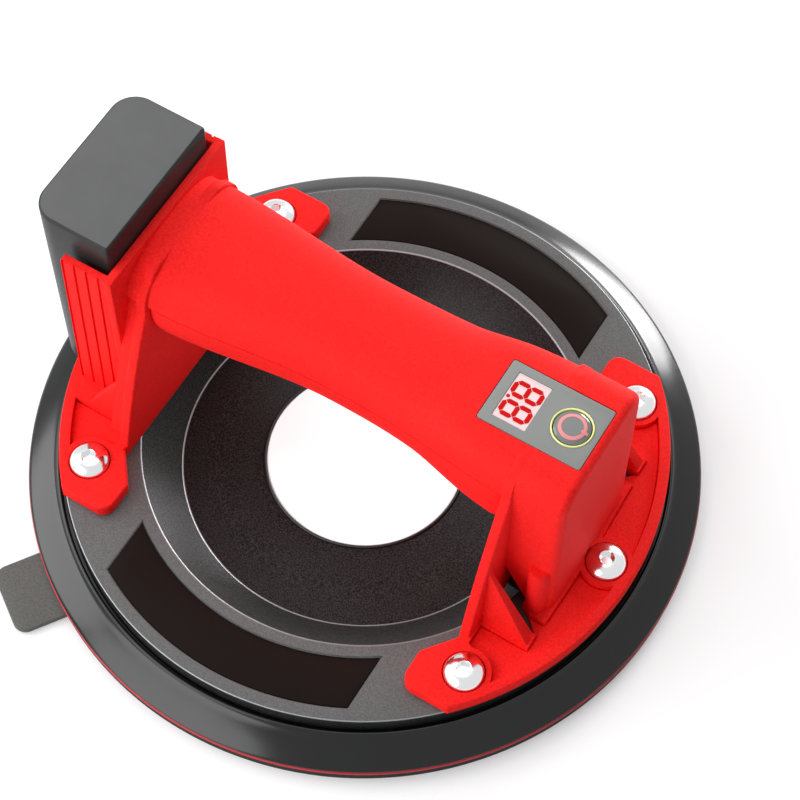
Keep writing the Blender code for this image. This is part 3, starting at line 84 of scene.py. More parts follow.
def linear(hexText):
    out = []
    for i in (0, 2, 4):
        c = int(hexText[i:i + 2], 16) / 255
        out.append(c / 12.92 if c <= 0.04045 else ((c + 0.055) / 1.055) ** 2.4)
    return (*out, 1.0)


def addNode(mat, kind, values=None, **settings):
    # values: socket name or number to a constant or to another node's output socket
    node = mat.node_tree.nodes.new(kind)
    for key, value in settings.items():
        setattr(node, key, value)
    for key, value in (values or {}).items():
        if isinstance(value, bpy.types.NodeSocket):
            mat.node_tree.links.new(value, node.inputs[key])
        else:
            node.inputs[key].default_value = value
    return node


def newFinish(name, colour, roughness, metallic=0.0, ior=1.5, sheen=0.5, glow=None):
    mat = bpy.data.materials.new(name)
    mat.use_nodes = True
    sockets = mat.node_tree.nodes["Principled BSDF"].inputs
    sockets["Base Color"].default_value = linear(colour)
    sockets["Roughness"].default_value = roughness
    sockets["Metallic"].default_value = metallic
    sockets["IOR"].default_value = ior
    sockets["Specular IOR Level"].default_value = sheen
    if glow:
        sockets["Emission Color"].default_value = linear(glow[0])
        sockets["Emission Strength"].default_value = glow[1]
    return mat


def pattern(mat, sizeMm, tones=None, roughness=None, bump=None, detail=2.0, fine=0.5, span=(0.3, 0.7)):
    # noise with lumps about sizeMm across that varies the colour, the roughness or the height
    links = mat.node_tree.links
    sockets = mat.node_tree.nodes["Principled BSDF"].inputs
    place = addNode(mat, "ShaderNodeTexCoord").outputs["Object"]
    lumps = addNode(mat, "ShaderNodeTexNoise", {"Vector": place, "Scale": 1 / (sizeMm * mm), "Detail": detail,
                                                "Roughness": fine}).outputs["Fac"]
    if tones:
        share = addNode(mat, "ShaderNodeMapRange", {"Value": lumps, "From Min": span[0], "From Max": span[1]})
        mix = addNode(mat, "ShaderNodeMix", {"Factor": share.outputs["Result"], 6: linear(tones[0]),
                                             7: linear(tones[1])}, data_type="RGBA")
        links.new(mix.outputs[2], sockets["Base Color"])
    if roughness:
        share = addNode(mat, "ShaderNodeMapRange", {"Value": lumps, "From Min": span[0], "From Max": span[1],
                                                    "To Min": roughness[0], "To Max": roughness[1]})
        links.new(share.outputs["Result"], sockets["Roughness"])
    if bump:
        relief = addNode(mat, "ShaderNodeBump", {"Height": lumps, "Distance": bump[0] * mm,
                                                 "Strength": bump[1]})
        links.new(relief.outputs["Normal"], sockets["Normal"])
    return mat


def backdropRays(mat):
    # 1 for rays that show the backdrop: seen straight, in a gloss or through glass
    path = addNode(mat, "ShaderNodeLightPath").outputs
    seen = path["Is Camera Ray"]
    for kind in ("Is Glossy Ray", "Is Transmission Ray"):
        seen = addNode(mat, "ShaderNodeMath", {0: seen, 1: path[kind]}, operation="MAXIMUM").outputs[0]
    return seen


# materials

def mouldedRedAbs():
    # ABS off a spark-eroded tool: even red with a fine pebble that breaks the sheen
    mat = newFinish("mouldedRedAbs", "F41A17", 0.73, ior=1.53, sheen=0.16)
    # a real pebble is about 0.15 mm across; drawn coarser so that it shows
    return pattern(mat, 0.75, ("EE1512", "FF2421"), (0.66, 0.80), (0.12, 0.7), detail=1.0)


def coatedAluminium(name, dark, light, roughness, sheen):
    # textured coat on a spun plate: fine speckle, satin, a bit mottled
    mottle = 0.04
    mat = newFinish(name, dark, roughness, sheen=sheen)
    pattern(mat, 0.45, (dark, light), bump=(0.06, 0.5), fine=0.6, span=(0.38, 0.66))
    return pattern(mat, 25.0, roughness=(roughness - mottle, roughness + mottle))


def machinedEdge():
    # bare aluminium where the coat is turned off the edges: bright, faint turning lines
    return pattern(newFinish("machinedEdge", "8C8E90", 0.42, 1.0), 0.6, roughness=(0.38, 0.48))


def skirtRubber():
    # pressed EPDM, smooth off a polished tool, with a soft dusty sheen
    mat = newFinish("skirtRubber", "0B0B0B", 0.17, ior=1.52, sheen=0.4)
    pattern(mat, 14.0, roughness=(0.16, 0.2))
    return pattern(mat, 0.5, bump=(0.01, 0.3))


def cellFoam():
    # closed-cell foam: matt black with open pores on its cut face
    mat = newFinish("cellFoam", "191919", 0.92, ior=1.45)
    return pattern(mat, 0.8, ("0E0E0E", "232323"), bump=(0.2, 0.8), detail=3.0)


def redSilicone():
    # soft silicone lip: dull red, satin
    return pattern(newFinish("redSilicone", "BE2F36", 0.48, ior=1.41), 1.2, roughness=(0.42, 0.55))


def tabRubber():
    # calendered sheet rubber: grey with a fine cloth mark
    mat = newFinish("tabRubber", "53524F", 0.62)
    return pattern(mat, 0.6, ("464542", "5F5E5A"), (0.55, 0.70), (0.05, 0.5))


def whiteDiscPaintedGlow():
    # white polypropylene, matt; the glow is painted light that keeps it white in the handle's shade
    mat = newFinish("whiteDiscPaintedGlow", "F2F2F2", 0.5, ior=1.49, sheen=0.3, glow=("FFFFFF", 0.4))
    return pattern(mat, 1.0, roughness=(0.45, 0.58))


def gasketRubber():
    # moulded nitrile ring, a little shiny
    return pattern(newFinish("gasketRubber", "161616", 0.4, ior=1.52), 0.6, roughness=(0.34, 0.48))


def darkFilm():
    # printed film with a plain field: brown-black under a thin satin varnish
    return pattern(newFinish("darkFilm", "180F0C", 0.5, sheen=0.06), 2.0, roughness=(0.46, 0.56))


def polishedChrome():
    # bright nickel on a pressed steel head: shiny with a soft polishing haze
    return pattern(newFinish("polishedChrome", "F2F3F4", 0.17, 1.0), 4.0, roughness=(0.15, 0.19))


def zincSteel():
    # zinc plate: grey with a slight bloom
    return pattern(newFinish("zincSteel", "B4B6B8", 0.32, 1.0), 1.0, roughness=(0.24, 0.42), detail=3.0)


def batteryAbs(name, dark, light):
    # dark ABS with a satin spark finish
    mat = newFinish(name, dark, 0.42, ior=1.53, sheen=0.22)
    pattern(mat, 8.0, (dark, light))
    return pattern(mat, 0.7, roughness=(0.38, 0.47), bump=(0.03, 0.3))


def paintedBayShade():
    # painted shade for the inside of the pump bay: a dark matt red standing for the shade in the hollow
    return pattern(newFinish("paintedBayShade", "1C0505", 0.8), 1.0, roughness=(0.74, 0.86))


def greyOverlay():
    # screen-printed polycarbonate overlay: even grey, satin
    mat = newFinish("greyOverlay", "858785", 0.5, ior=1.58, sheen=0.3)
    pattern(mat, 0.6, roughness=(0.40, 0.50))
    return pattern(mat, 0.5, bump=(0.015, 0.3))


def litWindow():
    # acrylic diffuser over the lamps: pinkish white, glows a little
    mat = newFinish("litWindow", "E8CCCE", 0.35, ior=1.49, glow=("FFD9D9", 0.04))
    return pattern(mat, 0.8, roughness=(0.30, 0.42))


def litSegment():
    # lamp segment: flat red, barely glowing
    mat = newFinish("litSegment", "C60306", 0.5, ior=1.49, sheen=0.1, glow=("D00508", 0.05))
    return pattern(mat, 0.8, roughness=(0.35, 0.45))


def paleRing():
    # acrylic light guide: pale yellow
    return pattern(newFinish("paleRing", "EDF09C", 0.38, ior=1.49), 0.6, roughness=(0.32, 0.44))


def buttonAbs():
    # gloss ABS cap: grey with a clear shine
    return pattern(newFinish("buttonAbs", "747675", 0.16, ior=1.53), 0.9, roughness=(0.13, 0.19))


def pinkInk():
    # pad-printed ink of the symbol: pale red, satin
    return pattern(newFinish("pinkInk", "E58C8C", 0.45), 0.5, roughness=(0.40, 0.50))


def blackAbs():
    # plain moulded ABS: black with a light pebble
    return pattern(newFinish("blackAbs", "1C1C1D", 0.45, ior=1.53), 0.6, roughness=(0.38, 0.52))


def brass():
    # rolled brass strip: bright with faint streaks
    return pattern(newFinish("brass", "D8B365", 0.25, 1.0), 0.8, roughness=(0.18, 0.34), detail=3.0)


def solderMask():
    # lacquered board: green with the glass weave showing through
    return pattern(newFinish("solderMask", "1E6B3A", 0.4, ior=1.55), 1.0, ("195E32", "237743"))


def shrinkSleeve():
    # shrunk PVC sleeve on a cell: blue, shiny
    return pattern(newFinish("shrinkSleeve", "2F62A8", 0.3, ior=1.53), 3.0, roughness=(0.24, 0.38))


def filterFelt():
    # needled felt: pale and matt with loose fibres
    mat = newFinish("filterFelt", "CBC9C1", 0.95)
    return pattern(mat, 0.4, ("B8B6AE", "DAD8D0"), bump=(0.2, 0.8), detail=5.0, span=(0, 1))


def milkyHose():
    # silicone hose: milky white, satin
    return pattern(newFinish("milkyHose", "CFCFC9", 0.35, ior=1.41), 1.0, roughness=(0.30, 0.42))


finishes = {
    "red_abs": mouldedRedAbs(), "grey_plate": coatedAluminium("greyCoat", "4C4C4C", "606060", 0.42, 0.4),
    "black_rubber": skirtRubber(), "black_foam": cellFoam(), "red_silicone": redSilicone(),
    "grey_rubber": tabRubber(), "white_plastic": whiteDiscPaintedGlow(), "dark_label": darkFilm(),
    "bright_steel": polishedChrome(), "zinc_steel": zincSteel(), "grey_panel": greyOverlay(),
    "clear_window": litWindow(), "yellow_ring": paleRing(), "grey_button": buttonAbs(),
    "black_abs": blackAbs(), "battery_abs": batteryAbs("batteryAbs", "202121", "242525"),
    "green_board": solderMask(), "brass": brass(), "cell_wrap": shrinkSleeve(), "felt": filterFelt(),
    "clear_hose": milkyHose(),
}
# dark coat of the dish, also used as painted shade on the plate's outer wall
dishCoatAndWallShade = coatedAluminium("dishCoatAndWallShade", "0F0F0F", "3A3A3A", 0.30, 0.14)
# painted light: a paler copy of the battery ABS for the lid's flat top
lidTopPaintedLight = batteryAbs("lidTopPaintedLight", "595A59", "5D5E5D")
edgeMetal, gasketBlack, bayShadePaint = machinedEdge(), gasketRubber(), paintedBayShade()
segmentRed, symbolInk = litSegment(), pinkInk()
nodeSlots = {part["node"]: part["material_slot"] for part in frame["record"]["subparts"]}
for nodeName, carried in frame["nodes"].items():
    carried.data.materials.clear()
    carried.data.materials.append(finishes[nodeSlots[nodeName]])
print("materials:", len(bpy.data.materials))


# mesh helpers, with lengths in mm

meshSizes = {"seamWeld": 0.001, "cutWeld": 0.003, "onRing": 0.02, "turnSteps": 192}


def lathe(points, steps=meshSizes["turnSteps"]):
    # spins an open or closed outline of (radius, height) round the upright axis
    bm = bmesh.new()
    verts = [bm.verts.new((r * mm, 0, z * mm)) for r, z in points]
    edges = [bm.edges.new(pair) for pair in zip(verts, verts[1:])]
    if points[0][0] > 0:
        edges.append(bm.edges.new((verts[-1], verts[0])))
    bmesh.ops.spin(bm, geom=verts + edges, cent=(0, 0, 0), axis=(0, 0, 1), angle=math.tau, steps=steps,
                   use_merge=True)
    bmesh.ops.remove_doubles(bm, verts=bm.verts, dist=meshSizes["seamWeld"] * mm)
    bmesh.ops.recalc_face_normals(bm, faces=bm.faces)
    return bm


def bevelEdges(bm, edges, width, segments):
    return bmesh.ops.bevel(bm, geom=edges, offset=width * mm, offset_type="OFFSET", segments=segments,
                           profile=0.5, affect="EDGES", material=-1, clamp_overlap=True)["faces"]


def roundRing(bm, spot, width):
    # bevels the edge ring at one (radius, height) of a turned piece and returns the new faces
    near = meshSizes["onRing"]

    def onRing(v):
        return abs(v.co.xy.length / mm - spot[0]) < near and abs(v.co.z / mm - spot[1]) < near

    return bevelEdges(bm, [e for e in bm.edges if onRing(e.verts[0]) and onRing(e.verts[1])], width, 3)


def soften(bm, width, segments=3, sharper=50, keep=None):
    # bevels every edge sharper than an angle, or only those that keep picks
    limit = math.radians(sharper)
    edges = [e for e in bm.edges if len(e.link_faces) == 2 and e.calc_face_angle(0) > limit]
    bevelEdges(bm, [e for e in edges if keep is None or keep(e)], width, segments)
    return bm


def above(level):
    # picks the edges that lie wholly above a level
    return lambda edge: all(v.co.z > level * mm for v in edge.verts)


def slab(points, low, high, axis="Z"):
    # extrudes a flat outline between two levels along an axis
    def place(a, b, c):
        return Vector({"X": (c, a, b), "Y": (a, c, b), "Z": (a, b, c)}[axis]) * mm

    bm = bmesh.new()
    face = bm.faces.new([bm.verts.new(place(a, b, low)) for a, b in points])
    grown = bmesh.ops.extrude_face_region(bm, geom=[face])["geom"]
    bmesh.ops.translate(bm, verts=[v for v in grown if isinstance(v, bmesh.types.BMVert)],
                        vec=place(0, 0, high - low))
    bmesh.ops.recalc_face_normals(bm, faces=bm.faces)
    return bm


def rod(spot, radius, low, high, segments=32, topRadius=None):
    # upright round bar, tapered where it has a top radius
    bm = bmesh.new()
    bmesh.ops.create_cone(bm, cap_ends=True, segments=segments, radius1=radius * mm,
                          radius2=(topRadius or radius) * mm, depth=(high - low) * mm,
                          matrix=Matrix.Translation(Vector((spot[0], spot[1], (low + high) / 2)) * mm))
    return bm


def turned(bm, angle):
    bmesh.ops.rotate(bm, verts=bm.verts, cent=(0, 0, 0), matrix=Matrix.Rotation(angle, 3, "Z"))
    return bm


def curvePoints(centre, radius, start, end, steps):
    turns = [math.radians(start + (end - start) * i / steps) for i in range(steps + 1)]
    return [(centre[0] + radius * math.cos(turn), centre[1] + radius * math.sin(turn)) for turn in turns]


def hexagon(radius, start=0):
    return curvePoints((0, 0), radius, start, start + 300, 5)


def rectangle(x0, x1, y0, y1):
    return [(x0, y0), (x1, y0), (x1, y1), (x0, y1)]


def roundBox(x0, x1, y0, y1, corner, steps=6):
    left, right, near, far = x0 + corner, x1 - corner, y0 + corner, y1 - corner
    out = []
    for i, centre in enumerate(((right, near), (right, far), (left, far), (left, near))):
        out += curvePoints(centre, corner, 90 * i - 90, 90 * i, steps)
    return out


def mirrored(points):
    return points + [(-a, b) for a, b in reversed(points)]


def toObject(name, bm):
    mesh = bpy.data.meshes.new(name)
    bm.to_mesh(mesh)
    bm.free()
    thing = bpy.data.objects.new(name, mesh)
    scene.collection.objects.link(thing)
    return thing


def moveTo(thing, x, y):
    thing.data.transform(Matrix.Translation((x * mm, y * mm, 0)))


def combine(target, bm, operation):
    other = toObject("cutter", bm)
    change = target.modifiers.new("combine", "BOOLEAN")
    change.operation = operation
    change.solver = "EXACT"
    change.object = other
    graph = bpy.context.evaluated_depsgraph_get()
    result = bpy.data.meshes.new_from_object(target.evaluated_get(graph))
    target.modifiers.clear()
    target.data = result
    bpy.data.objects.remove(other, do_unlink=True)


def join(target, bm):
    combine(target, bm, "UNION")


def cut(target, bm):
    combine(target, bm, "DIFFERENCE")


def coat(thing, mats):
    for mat in mats:
        thing.data.materials.append(mat)


def smoothMesh(mesh, angle):
    # merges the double points that cuts leave, drops faces without area and shades the rest smooth
    reach = meshSizes["cutWeld"] * mm
    bm = bmesh.new()
    bm.from_mesh(mesh)
    bmesh.ops.remove_doubles(bm, verts=bm.verts, dist=reach)
    bmesh.ops.dissolve_degenerate(bm, edges=bm.edges, dist=reach)
    bm.to_mesh(mesh)
    bm.free()
    mesh.shade_smooth()
    mesh.set_sharp_from_angle(angle=math.radians(angle))


def finishPiece(thing, body, slot, nodes=(), materials=None, angle=32):
    # shading, materials, body, slot and the CAD nodes that the piece stands for
    wanted = materials or [finishes[slot]]
    if list(thing.data.materials) != wanted:         # clearing slots also resets the faces' choice of slot
        thing.data.materials.clear()
        coat(thing, wanted)
    smoothMesh(thing.data, angle)
    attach(thing, body)
    if nodes:
        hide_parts(*nodes)


# suction base

baseSizes = {"plate": 91.7, "annulus": 68.1, "dish": 56.4, "disc": 30.3, "discEdge": 0.25, "gasket": 1.0,
             "gasketGap": 0.1, "recessGap": 0.2, "bedGap": 0.3, "wall": 2.0, "floorWall": 1.7, "flank": 0.6,
             "edgeLine": 0.3, "dishEdge": 3.0, "crown": 0.8, "rimFoot": 7.0, "boltHole": 2.8,
             "portHole": 2.1, "holeDrop": 5.0, "labelGap": 0.3, "labelPocket": 1.2}


def makePlate():
    s = baseSizes
    top = plateTop
    recess = s["disc"] + s["gasket"] + s["recessGap"]
    floor = levels("centre_disc")[0] - s["bedGap"]
    under = s["dishEdge"] - s["floorWall"]
    wallIn = s["plate"] - s["wall"]
    bm = lathe([(0, floor), (recess, floor), (recess, s["dishEdge"] + s["crown"]), (s["dish"], s["dishEdge"]),
                (s["annulus"], top), (s["plate"], top), (s["plate"], s["rimFoot"]), (wallIn, s["rimFoot"]),
                (wallIn, top - s["wall"]), (s["annulus"] + s["flank"], top - s["wall"]),
                (s["dish"] + s["flank"], under), (0, under)])
    for face in bm.faces:                    # dark coat in the dish; down the outer wall the same dark coat is painted shade
        out = face.calc_center_median().xy.length / mm
        wallPaintedShade = out > s["plate"] - touch and abs(face.normal.z) < 0.5
        face.material_index = 2 if wallPaintedShade or out < s["annulus"] - touch else 0
    for spot in ((s["annulus"], top), (s["plate"], top), (s["dish"], s["dishEdge"])):
        for face in roundRing(bm, spot, s["edgeLine"]):
            face.material_index = 1          # bright turned edges
    plate = toObject("basePlate", bm)
    coats = [finishes["grey_plate"], edgeMetal, dishCoatAndWallShade]
    coat(plate, coats)                       # before the cuts, which keep only known slots
    portX = sum(corner.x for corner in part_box("port_manifold")) / 2 / mm
    holes = [(spot, s["boltHole"]) for spot in boltSpots] + [((portX, 0), s["portHole"])]
    for spot, radius in holes:
        cut(plate, rod(spot, radius, top - s["holeDrop"], top + over))
    rebate = s["labelGap"] + s["edgeLine"], s["edgeLine"]
    for side in (-1, 1):
        for grow, depth in (rebate, (s["labelGap"], s["labelPocket"])):
            cut(plate, slab(labelOutline(side, grow), top - depth, top + over))
    finishPiece(plate, "cup", "grey_plate", ["base_plate"], coats)


labelSizes = {"inner": 72.2, "outer": 87.3, "half": 41.5, "thick": 0.6, "edge": 0.2, "arcSteps": 40}


def labelOutline(side, grow):
    s = labelSizes
    outer, inner = s["outer"] + grow, s["inner"] - grow
    wide, narrow = (math.degrees(math.asin((s["half"] + grow) / r)) for r in (outer, inner))
    middle = 90 * side
    return (curvePoints((0, 0), outer, middle - wide, middle + wide, s["arcSteps"])
            + curvePoints((0, 0), inner, middle + narrow, middle - narrow, s["arcSteps"]))


def makeLabels():
    s = labelSizes
    for side, end in ((-1, "near"), (1, "far")):
        node = f"label_plate_{end}"
        low = levels(node)[0]
        bm = soften(slab(labelOutline(side, 0), low, low + s["thick"]), s["edge"], segments=2, sharper=60)
        finishPiece(toObject(f"LabelPlate{end.title()}", bm), "cup", "dark_label", [node])


sealSizes = {"foot": 103.2, "footRound": 0.4, "slopeTop": 94.2, "slopeSteps": 9, "bead": 0.7, "edge": 0.6,
             "rise": 5.2, "bulge": 0.15, "groove": 1.8, "fit": 0.3, "tongue": 1.4, "heel": 4.0,
             "heelWidth": 2.0, "lipOut": 0.25, "lipRound": 0.5, "lipWidth": 11.0, "foamWidth": 11.0,
             "foamEdge": 0.4, "notchInner": 98.7, "notchOuter": 108.0, "notchHalf": 11.6, "notchGap": 0.15,
             "steps": 256}


def makeSkirt():
    s = sealSizes
    base = levels("rubber_skirt")[0]
    slopeTop = base + s["edge"] + s["rise"]
    beadCentre = s["slopeTop"] - s["bead"]
    outer = baseSizes["plate"] + s["fit"]
    inner = baseSizes["plate"] - baseSizes["wall"] - s["fit"]
    heelIn = inner - s["heelWidth"]
    points = [(outer, slopeTop - s["groove"]), (beadCentre - s["bead"], slopeTop - s["groove"])]
    points += curvePoints((beadCentre, slopeTop), s["bead"], 180, 20, 10)
    for step in range(1, s["slopeSteps"]):   # slightly bulged slope down to the foot
        share = step / s["slopeSteps"]
        bulge = s["bulge"] * math.sin(math.pi * share)
        points.append((s["slopeTop"] + (s["foot"] - s["slopeTop"]) * share + bulge,
                       slopeTop - s["rise"] * share + bulge))
    points += curvePoints((s["foot"] - s["footRound"], base + s["footRound"]), s["footRound"], 45, -60, 5)
    heelTop, tongueTop = base + s["heel"], base + s["tongue"]
    points += [(heelIn, base), (heelIn, heelTop), (inner, heelTop), (inner, tongueTop), (outer, tongueTop)]
    finishPiece(toObject("rubberSkirt", lathe(points, s["steps"])), "cup", "black_rubber", ["rubber_skirt"])


def makeLip():
    s = sealSizes
    low, high = levels("seal_lip")
    out = s["foot"] + s["lipOut"]
    points = [(out - s["lipWidth"], high), (out - s["lipRound"], high)]
    points += curvePoints((out - s["lipRound"], (low + high) / 2), s["lipRound"], 90, -90, 8)
    points.append((out - s["lipWidth"], low))
    finishPiece(toObject("sealLip", lathe(points, s["steps"])), "cup", "red_silicone", ["seal_lip"])


def makeFoam():
    s = sealSizes
    high = levels("foam_seal")[1]
    out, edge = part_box("foam_seal")[1].x / mm, s["foamEdge"]
    inner = out - s["foamWidth"]
    points = [(inner, high), (out - edge, high), (out, high - edge), (out, edge), (out - edge, 0),
              (inner + edge, 0), (inner, edge)]
    foam = toObject("foamSeal", lathe(points, s["steps"]))
    notch = rectangle(s["notchInner"], s["notchOuter"], -s["notchHalf"], s["notchHalf"])    # room for the tab
    cut(foam, turned(slab(notch, -over, high + s["notchGap"]), tabSizes["turn"]))
    finishPiece(foam, "cup", "black_foam", ["foam_seal"])


tabSizes = {"turn": math.radians(-124.3), "root": 99.0, "hinge": 105.0, "bend": 2.0, "tip": 118.0,
            "half": 11.3, "corner": 4.0, "thick": 2.0, "lift": 0.3, "edge": 0.35, "loops": 6, "loopStep": 0.4}


def makeTab():
    s = tabSizes
    start, end = s["hinge"] - s["bend"], s["hinge"] + s["bend"]
    top = s["lift"] + s["thick"]
    points = [(x, -s["half"]) for x in (s["root"], start, end)]
    points += curvePoints((s["tip"] - s["corner"], s["corner"] - s["half"]), s["corner"], -90, 0, 8)
    points += curvePoints((s["tip"] - s["corner"], s["half"] - s["corner"]), s["corner"], 0, 90, 8)
    points += [(x, s["half"]) for x in (end, start, s["root"])]
    bm = soften(slab(points, s["lift"], top), s["edge"])
    for loop in range(-s["loops"], s["loops"] + 1):         # loops for the bend
        cutAt = s["hinge"] + loop * s["loopStep"]
        bmesh.ops.bisect_plane(bm, geom=bm.verts[:] + bm.edges[:] + bm.faces[:], plane_co=(cutAt * mm, 0, 0),
                               plane_no=(1, 0, 0))
    tab = toObject("pullTab", turned(bm, s["turn"]))
    coat(tab, [finishes["grey_rubber"]])
    smoothMesh(tab.data, 40)
    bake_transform(tab)
    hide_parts("tab_root", "release_tab")


def makeCentre():
    s = baseSizes
    low, high = levels("centre_disc")
    r, edge = s["disc"], s["discEdge"]
    disc = lathe([(0, high), (r - edge, high), (r, high - edge), (r, low), (0, low)])
    finishPiece(toObject("centreDisc", disc), "cup", "white_plastic", ["centre_disc"])
    inner, top, half = r + s["gasketGap"], high + s["gasketGap"], s["gasket"] / 2
    ring = curvePoints((inner + half, top), half, 180, 0, 8) + [(inner + s["gasket"], low), (inner, low)]
    gasket = toObject("centreGasket", lathe(ring))
    finishPiece(gasket, "cup", "black_rubber", ["centre_gasket"], [gasketBlack])


boltSizes = {"head": 6.2, "height": 4.6, "brim": 0.7, "rim": 0.25, "domeSteps": 14, "domePower": 0.9,
             "shank": 2.5, "socket": 2.3, "socketDepth": 2.3, "socketTurn": 25, "mouth": 0.25, "flare": 1.25,
             "nutFlats": 8.0, "nutEdge": 0.35}


def makeBolt(number, spot):
    s = boltSizes
    bottom, top = levels(f"flange_bolt_{number}")
    seat = top - s["height"]
    domeLow, dome = seat + s["brim"], s["height"] - s["brim"]
    points = [(0, top)]
    for step in range(1, s["domeSteps"] + 1):
        turn = math.radians(90 * step / s["domeSteps"])
        points.append((s["head"] * math.sin(turn), domeLow + dome * math.cos(turn) ** s["domePower"]))
    points += [(s["head"], seat + s["rim"]), (s["head"] - s["rim"], seat), (s["shank"], seat),
               (s["shank"], bottom), (0, bottom)]
    bolt = toObject(f"flangeBolt{number}", lathe(points, steps=64))
    cut(bolt, slab(hexagon(s["socket"], s["socketTurn"] * number), top - s["socketDepth"], top + over))
    low, radius = top - 2 * s["mouth"], s["socket"] - s["mouth"]
    cut(bolt, rod((0, 0), radius, low, low + s["flare"], segments=64, topRadius=radius + s["flare"]))
    moveTo(bolt, spot.x, spot.y)
    finishPiece(bolt, "cup", "bright_steel", [f"flange_bolt_{number}"])


def makeNut(number, spot):
    s = boltSizes
    low, high = levels(f"sealing_nut_{number}")
    outline = hexagon(s["nutFlats"] / 2 / math.cos(math.pi / 6))
    bm = soften(slab(outline, low, high), s["nutEdge"], segments=2, sharper=40)
    nut = toObject(f"sealingNut{number}", bm)
    cut(nut, rod((0, 0), baseSizes["boltHole"], low - over, high + over))
    moveTo(nut, spot.x, spot.y)
    finishPiece(nut, "cup", "zinc_steel", [f"sealing_nut_{number}"])


makePlate()
makeLabels()
makeSkirt()
makeLip()
makeFoam()
makeTab()
makeCentre()
for boltNumber, boltSpot in enumerate(boltSpots, 1):
    makeBolt(boltNumber, boltSpot)
    makeNut(boltNumber, boltSpot)
print("suction base done")


# handle

grip = {"waist": 18.4, "batteryHalf": 23.2, "displayHalf": 22.0, "depth": 27.8, "batteryDrop": 3.8,
        "displayDrop": 6.6, "delay": 1.5, "round": 2.7, "square": 4.2, "squareFrom": 0.45, "squareTo": 0.8,
        "sides": 112, "stations": 61, "seamDrop": 12.4, "seamGap": 0.45, "seamEdge": 0.3}
leg = {"inner": 58.0, "thick": 3.2, "footHalf": 43.2, "headHalf": 21.2, "headDrop": 7.5, "headRound": 7.2,
       "bulge": 1.6, "steps": 24, "edge": 0.55, "collar": 1.2, "collarGap": 0.05, "collarEdge": 0.3}
gusset = {"y": 31.2, "thick": 4.2, "edge": 1.4, "run": 15.4, "rise": 27.6, "sunk": 1.0, "toe": 0.2,
          "round": 0.35}
foot = {"radius": 92.4, "innerX": 51.0, "half": 63.7, "corner": 4.0, "chamferY": 52.5, "edge": 0.7,
        "pocket": 1.9, "pocketClear": 2.0, "grooveWidth": 0.45, "grooveDepth": 0.7, "border": 3.3,
        "step": 0.6, "seat": 6.4, "seatRing": 1.6, "seatDepth": 1.8, "seatClear": 9.0, "bore": 2.8}
bay = {"end": 77.0, "root": 0.4, "footHalf": 22.6, "shoulder": 8.0, "corner": 2.6, "wall": 2.4, "bossX": 72.2,
       "boss": 3.2, "bossTop": 23.0, "bossSunk": 2.0, "bossDraft": 0.97, "bossRound": 0.9, "notchRun": 7.6,
       "notchRise": 14.3, "notchIn": 5.0}
dock = {"inner": 65.0, "wall": 2.7, "half": 29.1, "reach": 14.6, "lean": 2.0, "rise": 1.6, "edge": 0.4,
        "joint": 0.6, "cornerDrop": 0.1, "sideDrop": 0.6, "sideInset": 0.02, "grooves": 4, "pitch": 4.1,
        "grooveWidth": 0.9, "grooveDepth": 0.7, "neckInset": 1.8, "neckSunk": 1.0, "railX": 77.0,
        "railWidth": 3.4, "railFace": 23.4, "railDrop": 9.6, "railSunk": 0.5, "railRound": 0.4,
        "railLift": 0.4}
seamZ = topZ - grip["seamDrop"]
legOuter = leg["inner"] + leg["thick"]


def ease(value):
    value = max(0.0, min(1.0, value))
    return value * value * (3 - 2 * value)


def gripSection(x):
    # half width, underside level and squareness of the grip at a place along the handle
    g = grip
    reach = abs(x) / leg["inner"]
    if x < 0:
        share = ease(reach)
        return (g["waist"] + (g["batteryHalf"] - g["waist"]) * share,
                topZ - g["depth"] - g["batteryDrop"] * share, g["round"])
    share = ease(reach ** g["delay"])
    square = ease((reach - g["squareFrom"]) / (g["squareTo"] - g["squareFrom"]))
    return (g["waist"] + (g["displayHalf"] - g["waist"]) * share,
            topZ - g["depth"] - g["displayDrop"] * share, g["round"] + (g["square"] - g["round"]) * square)


def gripRing(bm, x, inset=0.0, widen=0.0):
    # one closed rounded-square ring round the grip
    ring = bmesh.ops.create_circle(bm, cap_ends=False, radius=1.0, segments=grip["sides"])["verts"]
    half, low, power = gripSection(x)
    half += widen - inset
    depth, middle = (topZ - low) / 2 - inset, (topZ + low) / 2
    for i, v in enumerate(ring):
        turn = math.tau * (i + 0.5) / grip["sides"]
        side, up = math.cos(turn), math.sin(turn)
        v.co = Vector((x, half * math.copysign(abs(side) ** (2 / power), side),
                       middle + depth * math.copysign(abs(up) ** (2 / power), up))) * mm
    return ring


def gripLoft(stations):
    # stations: (x, inset, widen); rings bridged in order and capped
    bm = bmesh.new()
    rings = [set(gripRing(bm, *station)) for station in stations]
    loops = [[e for e in bm.edges if e.verts[0] in ring and e.verts[1] in ring] for ring in rings]
    for first, second in zip(loops, loops[1:]):
        bmesh.ops.bridge_loops(bm, edges=first + second)
    bmesh.ops.holes_fill(bm, edges=loops[0] + loops[-1], sides=0)
    bmesh.ops.recalc_face_normals(bm, faces=bm.faces)
    return bm


def trimAt(bm, z, keepAbove):
    # cuts a closed piece level, caps the cut and softens its rim
    bmesh.ops.bisect_plane(bm, geom=bm.verts[:] + bm.edges[:] + bm.faces[:], plane_co=(0, 0, z * mm),
                           plane_no=(0, 0, -1 if keepAbove else 1), clear_outer=True)
    rim = [e for e in bm.edges if e.is_boundary]
    bmesh.ops.holes_fill(bm, edges=rim, sides=0)
    bmesh.ops.recalc_face_normals(bm, faces=bm.faces)
    bevelEdges(bm, [e for e in rim if e.is_valid], grip["seamEdge"], 2)
    return bm


